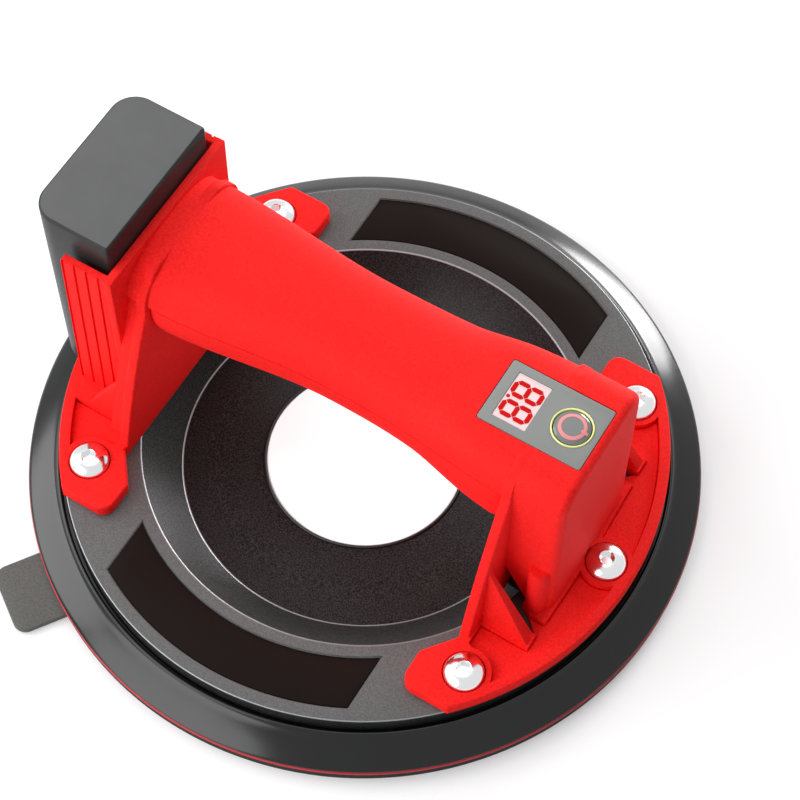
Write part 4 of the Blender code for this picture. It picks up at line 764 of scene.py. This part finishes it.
def legOutline(inset=0.0):
    # flared leg seen along the handle
    s = leg
    head = topZ - s["headDrop"]
    side = []
    for step in range(s["steps"] + 1):
        share = step / s["steps"]
        half = s["footHalf"] + (s["headHalf"] - s["footHalf"]) * share
        bulge = s["bulge"] * math.sin(math.pi * share)
        side.append((half + bulge - inset, footLow + (head - footLow) * share))
    reach = side[-1][0]
    return mirrored(side + curvePoints((reach - s["headDrop"], head - inset), s["headRound"], 10, 90, 8))


def footOutline(sign):
    s = foot
    angle = math.degrees(math.asin(s["half"] / s["radius"]))
    cornerX, cornerY, rootX = s["innerX"] + s["corner"], s["half"] - s["corner"], leg["inner"] + sink
    points = curvePoints((0, 0), s["radius"], -angle, angle, 72)
    points += curvePoints((cornerX, cornerY), s["corner"], 90, 180, 8)
    points += [(s["innerX"], s["chamferY"]), (rootX, leg["footHalf"]), (rootX, -leg["footHalf"]),
               (s["innerX"], -s["chamferY"])]
    points += curvePoints((cornerX, -cornerY), s["corner"], 180, 270, 8)
    return [(sign * x, y) for x, y in points]


def pocketOutline(sign, side):
    # shallow recess round the bolt seats, clear of the border, bulkhead, gusset and pump bay
    outer, ring = foot["radius"] - foot["border"], foot["seat"] + foot["seatRing"]
    first, second = (Vector((abs(spot.x), abs(spot.y))) for spot in boltSpots[:2])
    share = math.degrees(math.acos((outer ** 2 + first.x ** 2 - ring ** 2) / (2 * outer * first.x)))
    turn = math.degrees(math.atan2(second.y, second.x)) - share
    root, beside = legOuter + foot["step"], gusset["y"] + gusset["thick"] + foot["step"]

    def roundBolt(bolt, start, end):
        bearings = [math.degrees(math.atan2(y - bolt.y, x - bolt.x)) for x, y in (start, end)]
        return curvePoints(bolt, ring, *bearings, 16)[1:-1]

    start = share if sign > 0 else math.degrees(math.asin(beside / outer))
    points = curvePoints((0, 0), outer, start, turn, 30)
    points += roundBolt(second, points[-1], (root, leg["footHalf"]))
    points += [(root, leg["footHalf"]), (root, beside)]
    if sign > 0:
        tip, land, inside = root + gusset["run"], bay["end"] + foot["step"], gusset["y"] - sink
        besideBoss = bay["footHalf"] + bay["boss"] + foot["step"]
        points += [(tip, beside), (tip, inside), (bay["bossX"], inside), (bay["bossX"], besideBoss),
                   (land, besideBoss)]
        points += roundBolt(first, (land, math.sqrt(ring ** 2 - (first.x - land) ** 2)), points[0])
    return [(sign * x, side * y) for x, y in points]


def openingOutline(side):
    # way through the display foot between the bulkhead, a gusset and the pump bay
    root, clear, inside = legOuter + sink, bay["footHalf"] + sink, gusset["y"] - sink
    bossX, boss = bay["bossX"], bay["boss"]
    points = [(root, clear), (root + bay["notchRun"], clear), (bossX - boss, bay["footHalf"] + boss / 2),
              (bossX, clear + boss), (root + gusset["run"], inside), (root, inside)]
    return [(x, side * y) for x, y in points]


def gussetWeb(sign, side):
    # web that narrows from the foot to its sloped edge
    s = gusset
    root, end = legOuter - sink, legOuter + s["run"]
    draft = (s["thick"] - s["edge"]) / s["rise"]
    outline = [(root, footHigh - s["sunk"]), (end + s["toe"], footHigh - s["sunk"]), (end, footHigh),
               (root, footHigh + s["rise"])]
    bm = slab([(sign * x, z) for x, z in outline], 0, 1, "Y")
    for v in bm.verts:
        thick = s["thick"] - draft * (v.co.z / mm - footHigh) if v.co.y > 0 else 0
        v.co.y = side * (s["y"] + thick) * mm
    bmesh.ops.recalc_face_normals(bm, faces=bm.faces)
    return soften(bm, s["round"], sharper=40)


def bayOutline(inset, low):
    shoulder = bay["shoulder"] - inset
    half = grip["displayHalf"] - inset
    return mirrored([(inset - bay["footHalf"], low)]
                    + curvePoints((shoulder - half, topZ - inset - shoulder), shoulder, 180, 90, 12))


def makeFrame():
    start, end = -dock["inner"] - sink, legOuter - sink
    last = grip["stations"] - 1
    upper = gripLoft([(start + (end - start) * i / last, 0, 0) for i in range(last + 1)])
    body = toObject("handleFrame", trimAt(upper, seamZ + grip["seamGap"] / 2, True))
    gap, edge = leg["collarGap"], leg["collarEdge"]
    collar = ((leg["inner"] + gap, edge), (leg["inner"] + edge, 0), (legOuter - edge, 0),
              (legOuter - gap, edge))
    for sign in (-1, 1):
        near, far = sorted((sign * leg["inner"], sign * legOuter))
        join(body, soften(slab(legOutline(), near, far, "X"), leg["edge"]))
        join(body, gripLoft([(sign * x, inset, leg["collar"]) for x, inset in collar]))
        plinth = slab(footOutline(sign), footLow, footHigh)
        join(body, soften(plinth, foot["edge"], keep=above(footHigh - touch)))
    addBay(body)
    addDock(body)
    for sign in (-1, 1):
        for side in (-1, 1):
            join(body, gussetWeb(sign, side))
    carveFeet(body)
    carveBay(body)
    # the second coat is painted shade for the faces inside the pump bay
    coats = [finishes["red_abs"], bayShadePaint]
    coat(body, coats)
    paintBayShade(body)
    finishPiece(body, "cup", "red_abs", ["handle_frame"], coats, angle=30)


def addBay(body):
    # pump bay at the display end, with its two screw bosses
    s = bay

    def endRim(edge):
        return (all(v.co.x > (s["end"] - touch) * mm for v in edge.verts)
                and any(v.co.z > footHigh * mm for v in edge.verts))

    housing = slab(bayOutline(0, footLow), legOuter - s["root"], s["end"], "X")
    join(body, soften(housing, s["corner"], segments=6, sharper=40, keep=endRim))
    for side in (-1, 1):
        boss = rod((s["bossX"], side * s["footHalf"]), s["boss"], footHigh - s["bossSunk"],
                   footHigh + s["bossTop"], segments=48, topRadius=s["boss"] * s["bossDraft"])
        join(body, soften(boss, s["bossRound"], segments=5, keep=above(footHigh)))


def addDock(body):
    # neck, back wall, ribbed side walls and guide rails for the battery
    s = dock
    back, low = topZ + s["rise"], footLow + sink
    face = -s["inner"] - s["wall"]
    end = face - s["reach"]
    join(body, slab(legOutline(s["neckInset"]), -s["inner"] - sink, s["neckSunk"] - legOuter, "X"))
    plan = rectangle(-s["inner"], face, low, back)
    join(body, soften(slab(plan, -s["half"], s["half"], "Y"), s["edge"], segments=2))
    for side in (-1, 1):
        wall = [(face + s["joint"], low), (face + s["joint"], back - s["cornerDrop"]),
                (end, back - s["sideDrop"]), (end - s["lean"], low)]
        near, far = sorted((side * (s["half"] - s["wall"]), side * (s["half"] - s["sideInset"])))
        join(body, soften(slab(wall, near, far, "Y"), s["edge"], segments=2))
        near, far = sorted((side * s["railFace"], side * (s["half"] - s["wall"] + s["railSunk"])))
        rail = roundBox(-s["railX"] - s["railWidth"] / 2, -s["railX"] + s["railWidth"] / 2, near, far,
                        s["railRound"], steps=3)
        join(body, slab(rail, footLow + s["railLift"], back - s["railDrop"]))
        near, far = sorted((side * (s["half"] - s["grooveDepth"]), side * (s["half"] + over)))
        for groove in range(s["grooves"]):
            first = -s["inner"] - s["pitch"] * (groove + 1) - s["grooveWidth"] / 2
            last = first + s["grooveWidth"]
            cut(body, slab([(first - s["lean"], footHigh + sink), (last - s["lean"], footHigh + sink),
                            (last, back + over), (first, back + over)], near, far, "Y"))


def carveFeet(body):
    # pockets with a groove round their floor, bolt seats and bores
    s = foot
    for sign in (-1, 1):
        for side in (-1, 1):
            low = footHigh - s["pocket"] - s["grooveDepth"]
            bm = slab(pocketOutline(sign, side), low, footHigh + s["pocketClear"])
            floor = min(bm.faces, key=lambda face: face.calc_center_median().z)
            bmesh.ops.inset_region(bm, faces=[floor], thickness=s["grooveWidth"] * mm, use_even_offset=True)
            bmesh.ops.translate(bm, verts=floor.verts, vec=(0, 0, s["grooveDepth"] * mm))
            cut(body, bm)
    for spot in boltSpots:
        cut(body, rod(spot, s["seat"], footHigh - s["seatDepth"], footHigh + s["seatClear"], segments=72))
        cut(body, rod(spot, s["bore"], footLow - over, footHigh, segments=72))


def carveBay(body):
    # the bay's hollow, the openings and notches beside it, the panel's seat and the button's well
    s = bay
    cut(body, slab(bayOutline(s["wall"], footLow - over), legOuter, s["end"] - s["wall"], "X"))
    notchEnd = legOuter + s["notchRun"]
    notch = [(legOuter, footLow - over), (notchEnd, footLow - over), (notchEnd, footHigh),
             (legOuter, footHigh + s["notchRise"])]
    for side in (-1, 1):
        cut(body, slab(openingOutline(side), footLow - over, footHigh + sink))
        near, far = sorted((side * (s["footHalf"] - s["notchIn"]), side * (s["footHalf"] + over)))
        cut(body, slab(notch, near, far, "Y"))
    gap = panel["seatGap"]
    seat = roundBox(panelLow.x - gap, panelHigh.x + gap, panelLow.y - gap, panelHigh.y + panel["seatFarGap"],
                    panel["seatCorner"])
    cut(body, slab(seat, panelLow.z - panel["seatDrop"], topZ + over))
    cut(body, rod((buttonX, 0), button["well"], topZ - button["wellDepth"], topZ + over, segments=64))


def paintBayShade(body):
    # painted shade on the walls inside the pump bay: faces within the hollow take the dark coat
    end, half, high = (size - bay["wall"] + touch for size in (bay["end"], bay["footHalf"], topZ))
    inside = [legOuter - touch < v.co.x / mm < end and abs(v.co.y) / mm < half and v.co.z / mm < high
              for v in body.data.vertices]
    for face in body.data.polygons:
        inShade = face.center.x / mm > legOuter + 2 * touch and all(inside[i] for i in face.vertices)
        face.material_index = int(inShade)


shell = {"endGap": 0.3, "endRound": 4.5, "endInset": 1.2, "endShares": (0.02, 0.1, 0.25, 0.45, 0.7),
         "screwSeat": 2.0, "screwBore": 2.9, "boreDepth": 12.0}
screw = {"head": 2.6, "edge": 0.5, "height": 1.8, "shank": 1.1, "length": 6.0, "slot": 1.4, "slotHalf": 0.35,
         "slotDepth": 1.1, "turn": 20}


def makeLowerShell():
    s = shell
    end = leg["inner"] - s["endGap"]
    last = grip["stations"] - 1
    spots = {-end + 2 * end * i / last for i in range(last + 1)}
    spots |= {sign * (end - s["endRound"] * share) for sign in (-1, 1) for share in s["endShares"]}
    stations = []
    for x in sorted(spots):                  # rounded in at both ends
        past = max(0.0, abs(x) - end + s["endRound"]) / s["endRound"]
        stations.append((x, s["endInset"] * (1 - math.sqrt(max(0.0, 1 - past ** 2))), 0))
    lower = toObject("lowerShell", trimAt(gripLoft(stations), seamZ - grip["seamGap"] / 2, False))
    for number in range(1, 5):
        spot = sum(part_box(f"grip_screw_{number}"), Vector()) / 2 / mm
        low = levels(f"grip_screw_{number}")[0]
        seat = low + s["screwSeat"]
        cut(lower, rod(spot, s["screwBore"], seat - s["boreDepth"], seat, segments=40))
        makeScrew(number, spot, low)
    finishPiece(lower, "cup", "red_abs", ["lower_shell"], angle=30)


def makeScrew(number, spot, low):
    s = screw
    r = s["head"]
    points = [(0, low), (r - s["edge"], low), (r, low + s["edge"]), (r, low + s["height"]),
              (s["shank"], low + s["height"]), (s["shank"], low + s["length"]), (0, low + s["length"])]
    piece = toObject(f"gripScrew{number}", lathe(points, steps=40))
    slot = rectangle(-s["slot"], s["slot"], -s["slotHalf"], s["slotHalf"])
    for quarter in (0, 90):                  # cross slot
        cutter = slab(slot, low - over, low + s["slotDepth"])
        cut(piece, turned(cutter, math.radians(quarter + s["turn"] * number)))
    moveTo(piece, spot.x, spot.y)
    finishPiece(piece, "cup", "zinc_steel", [f"grip_screw_{number}"])


# display panel, digits and button

panel = {"corner": 0.7, "edge": 0.15, "seatGap": 0.2, "seatFarGap": 0.35, "seatCorner": 0.8, "seatDrop": 0.3,
         "windowGap": 0.1, "windowHoleCorner": 0.25, "windowCorner": 0.2, "ringGap": 0.12, "ringWidth": 0.55,
         "ringEdge": 0.2}
digit = {"height": 9.5, "width": 5.5, "bar": 1.4, "gap": 0.13, "centres": (2.98, -3.64), "dotY": 0.33,
         "dotDrop": 4.2, "dot": 0.55, "thick": 0.1, "sunk": 0.02}
button = {"radius": 5.3, "dome": 0.9, "domePower": 4, "domeSteps": 12, "rim": 0.08, "rimDrop": 0.15,
          "cap": 2.0, "stem": 1.8, "well": 5.6, "wellDepth": 18.0, "ringInner": 3.05, "ringOuter": 4.05,
          "ringRows": 4, "tickOut": 4.75, "tickIn": 0.3, "tickHalf": 0.48, "tickThick": 0.1, "tickLift": 0.01,
          "ink": 0.06, "inkSunk": 0.05}


def makePanel():
    s = panel
    low, high, gap = panelLow, panelHigh, panel["windowGap"]
    plan = roundBox(low.x, high.x, low.y, high.y, s["corner"])
    bm = soften(slab(plan, low.z, high.z), s["edge"], segments=2, keep=above(high.z - touch / 2))
    cover = toObject("displayPanel", bm)
    hole = roundBox(windowLow.x - gap, windowHigh.x + gap, windowLow.y - gap, windowHigh.y + gap,
                    s["windowHoleCorner"], steps=3)
    cut(cover, slab(hole, low.z - over, high.z + over))
    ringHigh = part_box("button_ring")[1] / mm
    ringOut = ringHigh.x - buttonX
    cut(cover, rod((buttonX, 0), ringOut + s["ringGap"], low.z - over, high.z + over, segments=96))
    finishPiece(cover, "cup", "grey_panel", ["display_panel"])

    plan = roundBox(windowLow.x, windowHigh.x, windowLow.y, windowHigh.y, s["windowCorner"], steps=3)
    window = toObject("displayWindow", slab(plan, windowLow.z, windowHigh.z))
    finishPiece(window, "cup", "clear_window", ["display_window"])

    ringIn, top, edge = ringOut - s["ringWidth"], ringHigh.z, s["ringEdge"]
    halo = lathe([(ringIn, top - edge), (ringIn + edge, top), (ringOut - edge, top), (ringOut, top - edge),
                  (ringOut, low.z), (ringIn, low.z)], steps=96)
    ring = toObject("buttonRing", halo)
    moveTo(ring, buttonX, 0)
    finishPiece(ring, "cup", "yellow_ring", ["button_ring"])


def segmentBars():
    # the seven bars of one digit: centre, length and whether it lies across
    s = digit
    reach, side = s["height"] / 2 - s["bar"] / 2, s["width"] / 2 - s["bar"] / 2
    bars = [((0, up * reach), s["width"] - s["bar"], True) for up in (-1, 0, 1)]
    return bars + [((across * side, up * reach / 2), reach, False) for across in (-1, 1) for up in (-1, 1)]


def makeDigits():
    # red bars and a dot on the window; a digit's top faces the button
    s = digit
    low = windowHigh.z - s["sunk"]
    middle = (windowLow.x + windowHigh.x) / 2
    pieces = [rod((middle - s["dotDrop"], -s["dotY"]), s["dot"], low, low + s["thick"], segments=24)]
    half = s["bar"] / 2
    for centreY in s["centres"]:
        for (u, v), length, across in segmentBars():
            end = length / 2 - s["gap"]
            bar = [(-end, 0), (half - end, -half), (end - half, -half)]
            bar += [(-a, -b) for a, b in bar]
            if not across:
                bar = [(-b, a) for a, b in bar]
            pieces.append(slab([(middle + v + b, centreY - u - a) for a, b in bar], low, low + s["thick"]))
    lit = bmesh.new()
    for piece in pieces:
        mesh = bpy.data.meshes.new("bar")
        piece.to_mesh(mesh)
        piece.free()
        lit.from_mesh(mesh)
        bpy.data.meshes.remove(mesh)
    bmesh.ops.recalc_face_normals(lit, faces=lit.faces)
    finishPiece(toObject("displayDigits", lit), "cup", "clear_window", materials=[segmentRed])


def domeHeight(r):
    return topZ + button["dome"] * (1 - (r / button["radius"]) ** button["domePower"])


def makeButton():
    s = button
    r, stemLow, capLow = s["radius"], levels("power_button")[0], topZ - s["cap"]
    points = [(r * i / s["domeSteps"], domeHeight(r * i / s["domeSteps"])) for i in range(s["domeSteps"])]
    points += [(r - s["rim"], domeHeight(r - s["rim"])), (r, topZ - s["rimDrop"]), (r, capLow),
               (s["stem"], capLow), (s["stem"], stemLow), (0, stemLow)]
    cap = toObject("powerButton", lathe(points, steps=96))
    moveTo(cap, buttonX, 0)
    finishPiece(cap, "button", "grey_button", ["power_button"])


def makeSymbol():
    # printed ring and tick that follow the cap's dome
    s = button
    step = (s["ringOuter"] - s["ringInner"]) / s["ringRows"]
    rows = [s["ringInner"] + step * i for i in range(s["ringRows"] + 1)]
    ring = [(r, domeHeight(r) + s["ink"]) for r in rows]
    ring += [(r, domeHeight(r) - s["inkSunk"]) for r in reversed(rows)]
    symbol = toObject("powerSymbol", lathe(ring, steps=96))
    start, end = s["ringInner"] - s["tickIn"], s["tickOut"]
    tick = bmesh.new()
    bmesh.ops.create_grid(tick, x_segments=8, y_segments=4, size=0.5)
    for v in tick.verts:
        x, y = (start + end) / 2 + v.co.x * (end - start), v.co.y * 2 * s["tickHalf"]
        v.co = Vector((x, y, domeHeight(math.hypot(x, y)) + s["ink"] + s["tickLift"])) * mm
    bmesh.ops.solidify(tick, geom=tick.faces[:], thickness=-s["tickThick"] * mm)
    bmesh.ops.recalc_face_normals(tick, faces=tick.faces)
    join(symbol, tick)
    moveTo(symbol, buttonX, 0)
    finishPiece(symbol, "button", "grey_button", materials=[symbolInk])


# battery pack

pack = {"half": 24.6, "corner": 8.0, "innerCorner": 1.0, "bevel": 1.0, "footBevel": 0.8, "split": 12.4,
        "hairline": 0.06, "grooveFace": 23.0, "grooveHalf": 2.1, "grooveClear": 0.7, "contactGap": 0.4,
        "contactMouth": 2.0, "contactTop": 0.6}
packLow, packHigh = (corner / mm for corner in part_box("battery_case"))
lidTop = levels("battery_lid")[1]
splitZ = lidTop - pack["split"]


def packOutline():
    # block seen from above, well rounded on the outside and nearly square towards the dock
    s = pack
    outX, outY = packLow.x + s["corner"], s["half"] - s["corner"]
    inX, inY = packHigh.x - s["innerCorner"], s["half"] - s["innerCorner"]
    points = curvePoints((outX, -outY), s["corner"], 180, 270, 16)
    points += curvePoints((inX, -inY), s["innerCorner"], -90, 0, 4)
    points += curvePoints((inX, inY), s["innerCorner"], 0, 90, 4)
    return points + curvePoints((outX, outY), s["corner"], 90, 180, 16)


def makeLid():
    s = pack
    bm = slab(packOutline(), splitZ + s["hairline"] / 2, lidTop)
    soften(bm, s["bevel"], segments=5, keep=above(lidTop - touch / 2))
    for face in bm.faces:                    # painted light: the flat top is paler than the sides, as if lit from above
        face.material_index = int(face.normal.z > 0.98)
    lid = toObject("batteryLid", bm)
    coats = [finishes["battery_abs"], lidTopPaintedLight]
    coat(lid, coats)
    finishPiece(lid, "battery", "battery_abs", ["battery_lid"], coats)


def makeCase():
    s = pack
    bm = slab(packOutline(), packLow.z, splitZ - s["hairline"] / 2)
    footLevel = (packLow.z + touch / 2) * mm
    soften(bm, s["footBevel"], keep=lambda edge: all(v.co.z < footLevel for v in edge.verts))
    case = toObject("batteryCase", bm)
    grooveTop = topZ + dock["rise"] - dock["railDrop"] + s["grooveClear"]
    for side in (-1, 1):                     # grooves for the dock's rails
        near, far = sorted((side * s["grooveFace"], side * (s["half"] + over)))
        groove = rectangle(-dock["railX"] - s["grooveHalf"], -dock["railX"] + s["grooveHalf"], near, far)
        cut(case, slab(groove, packLow.z - over, grooveTop))
    gap = s["contactGap"]
    for node, mouth in (("contact_block", s["contactMouth"]), ("dock_blade_1", gap), ("dock_blade_2", gap)):
        low, high = (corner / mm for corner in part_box(node))
        room = rectangle(low.x - gap, high.x + mouth, low.y - gap, high.y + gap)
        cut(case, slab(room, packLow.z - over, high.z + s["contactTop"]))
    finishPiece(case, "battery", "battery_abs", ["battery_case"])


makeFrame()
makeLowerShell()
print("handle done")
makePanel()
makeDigits()
makeButton()
makeSymbol()
print("display and button done")
makeLid()
makeCase()
print("battery done")


# floor, light and camera

view = {"azimuth": 30.738, "elevation": 60.936, "roll": 0.705, "distance": 725.97,
        "target": (-1.14, 22.35, 4.5), "lens": 104.49, "sensor": 36.0, "clipNear": 0.01, "clipFar": 20.0}


def makeCamera():
    az, el, roll = (math.radians(view[key]) for key in ("azimuth", "elevation", "roll"))
    back = Vector((math.sin(az) * math.cos(el), -math.cos(az) * math.cos(el), math.sin(el)))
    right = Vector((math.cos(az), math.sin(az), 0))
    up = back.cross(right)
    across = math.cos(roll) * right + math.sin(roll) * up
    upright = math.cos(roll) * up - math.sin(roll) * right
    data = bpy.data.cameras.new("camera")
    data.lens, data.sensor_width = view["lens"], view["sensor"]
    data.clip_start, data.clip_end = view["clipNear"], view["clipFar"]
    camera = bpy.data.objects.new("camera", data)
    spot = (Vector(view["target"]) + back * view["distance"]) * mm
    camera.matrix_world = Matrix.Translation(spot) @ Matrix((across, upright, back)).transposed().to_4x4()
    scene.collection.objects.link(camera)
    scene.camera = camera


lamps = {
    "overhead": {"spot": (-0.35, 0.4, 1.3), "size": 1.8, "watts": 9},
    "leftSide": {"spot": (-1.2, -0.4, 0.72), "size": 1.1, "watts": 13},
    "frontLeft": {"spot": (-0.45, -1.2, 0.75), "size": 1.2, "watts": 13},
    "rearLow": {"spot": (0.1, 1.35, 0.3), "size": 0.6, "watts": 16},
}
sky = {"colour": "F4F5F6", "fill": 0.25, "seen": 0.9}


def makeLights():
    for name, lamp in lamps.items():
        data = bpy.data.lights.new(name, "AREA")
        data.shape, data.size, data.energy = "DISK", lamp["size"], lamp["watts"]
        light = bpy.data.objects.new(name, data)
        light.location = lamp["spot"]
        light.rotation_euler = (-Vector(lamp["spot"])).to_track_quat("-Z", "Y").to_euler()
        scene.collection.objects.link(light)
    world = bpy.data.worlds.new("studio")
    world.use_nodes = True
    back = world.node_tree.nodes["Background"].inputs
    back["Color"].default_value = linear(sky["colour"])
    strength = addNode(world, "ShaderNodeMath", {0: backdropRays(world), 1: sky["seen"] - sky["fill"],
                                                 2: sky["fill"]}, operation="MULTIPLY_ADD")
    world.node_tree.links.new(strength.outputs[0], back["Strength"])
    scene.world = world


floorSizes = {"half": 3.0, "cells": 8, "glow": 0.25, "farGlow": 0.4, "farStart": 0.5, "farEnd": 2.0}


def makeFloor():
    # painted board: pale and matt; its far part is lifted for the camera, to meet the backdrop
    s = floorSizes
    bm = bmesh.new()
    bmesh.ops.create_grid(bm, x_segments=s["cells"], y_segments=s["cells"], size=s["half"])
    board = toObject("studioFloor", bm)
    mat = newFinish("paintedFloor", "E2E3E4", 0.7, glow=("FFFFFF", s["glow"]))
    pattern(mat, 40.0, roughness=(0.65, 0.75))
    place = addNode(mat, "ShaderNodeTexCoord").outputs["Object"]
    reach = addNode(mat, "ShaderNodeVectorMath", {0: place}, operation="LENGTH").outputs["Value"]
    far = addNode(mat, "ShaderNodeMapRange", {"Value": reach, "From Min": s["farStart"],
                                              "From Max": s["farEnd"], "To Max": s["farGlow"]})
    near = addNode(mat, "ShaderNodeMath", {0: backdropRays(mat), 1: s["glow"]}, operation="MULTIPLY")
    straight = addNode(mat, "ShaderNodeLightPath").outputs["Is Camera Ray"]
    glow = addNode(mat, "ShaderNodeMath", {0: far.outputs["Result"], 1: straight, 2: near.outputs[0]},
                   operation="MULTIPLY_ADD")
    shader = mat.node_tree.nodes["Principled BSDF"]
    mat.node_tree.links.new(glow.outputs[0], shader.inputs["Emission Strength"])
    coat(board, [mat])


makeCamera()
makeLights()
makeFloor()
print("camera, light and floor done")
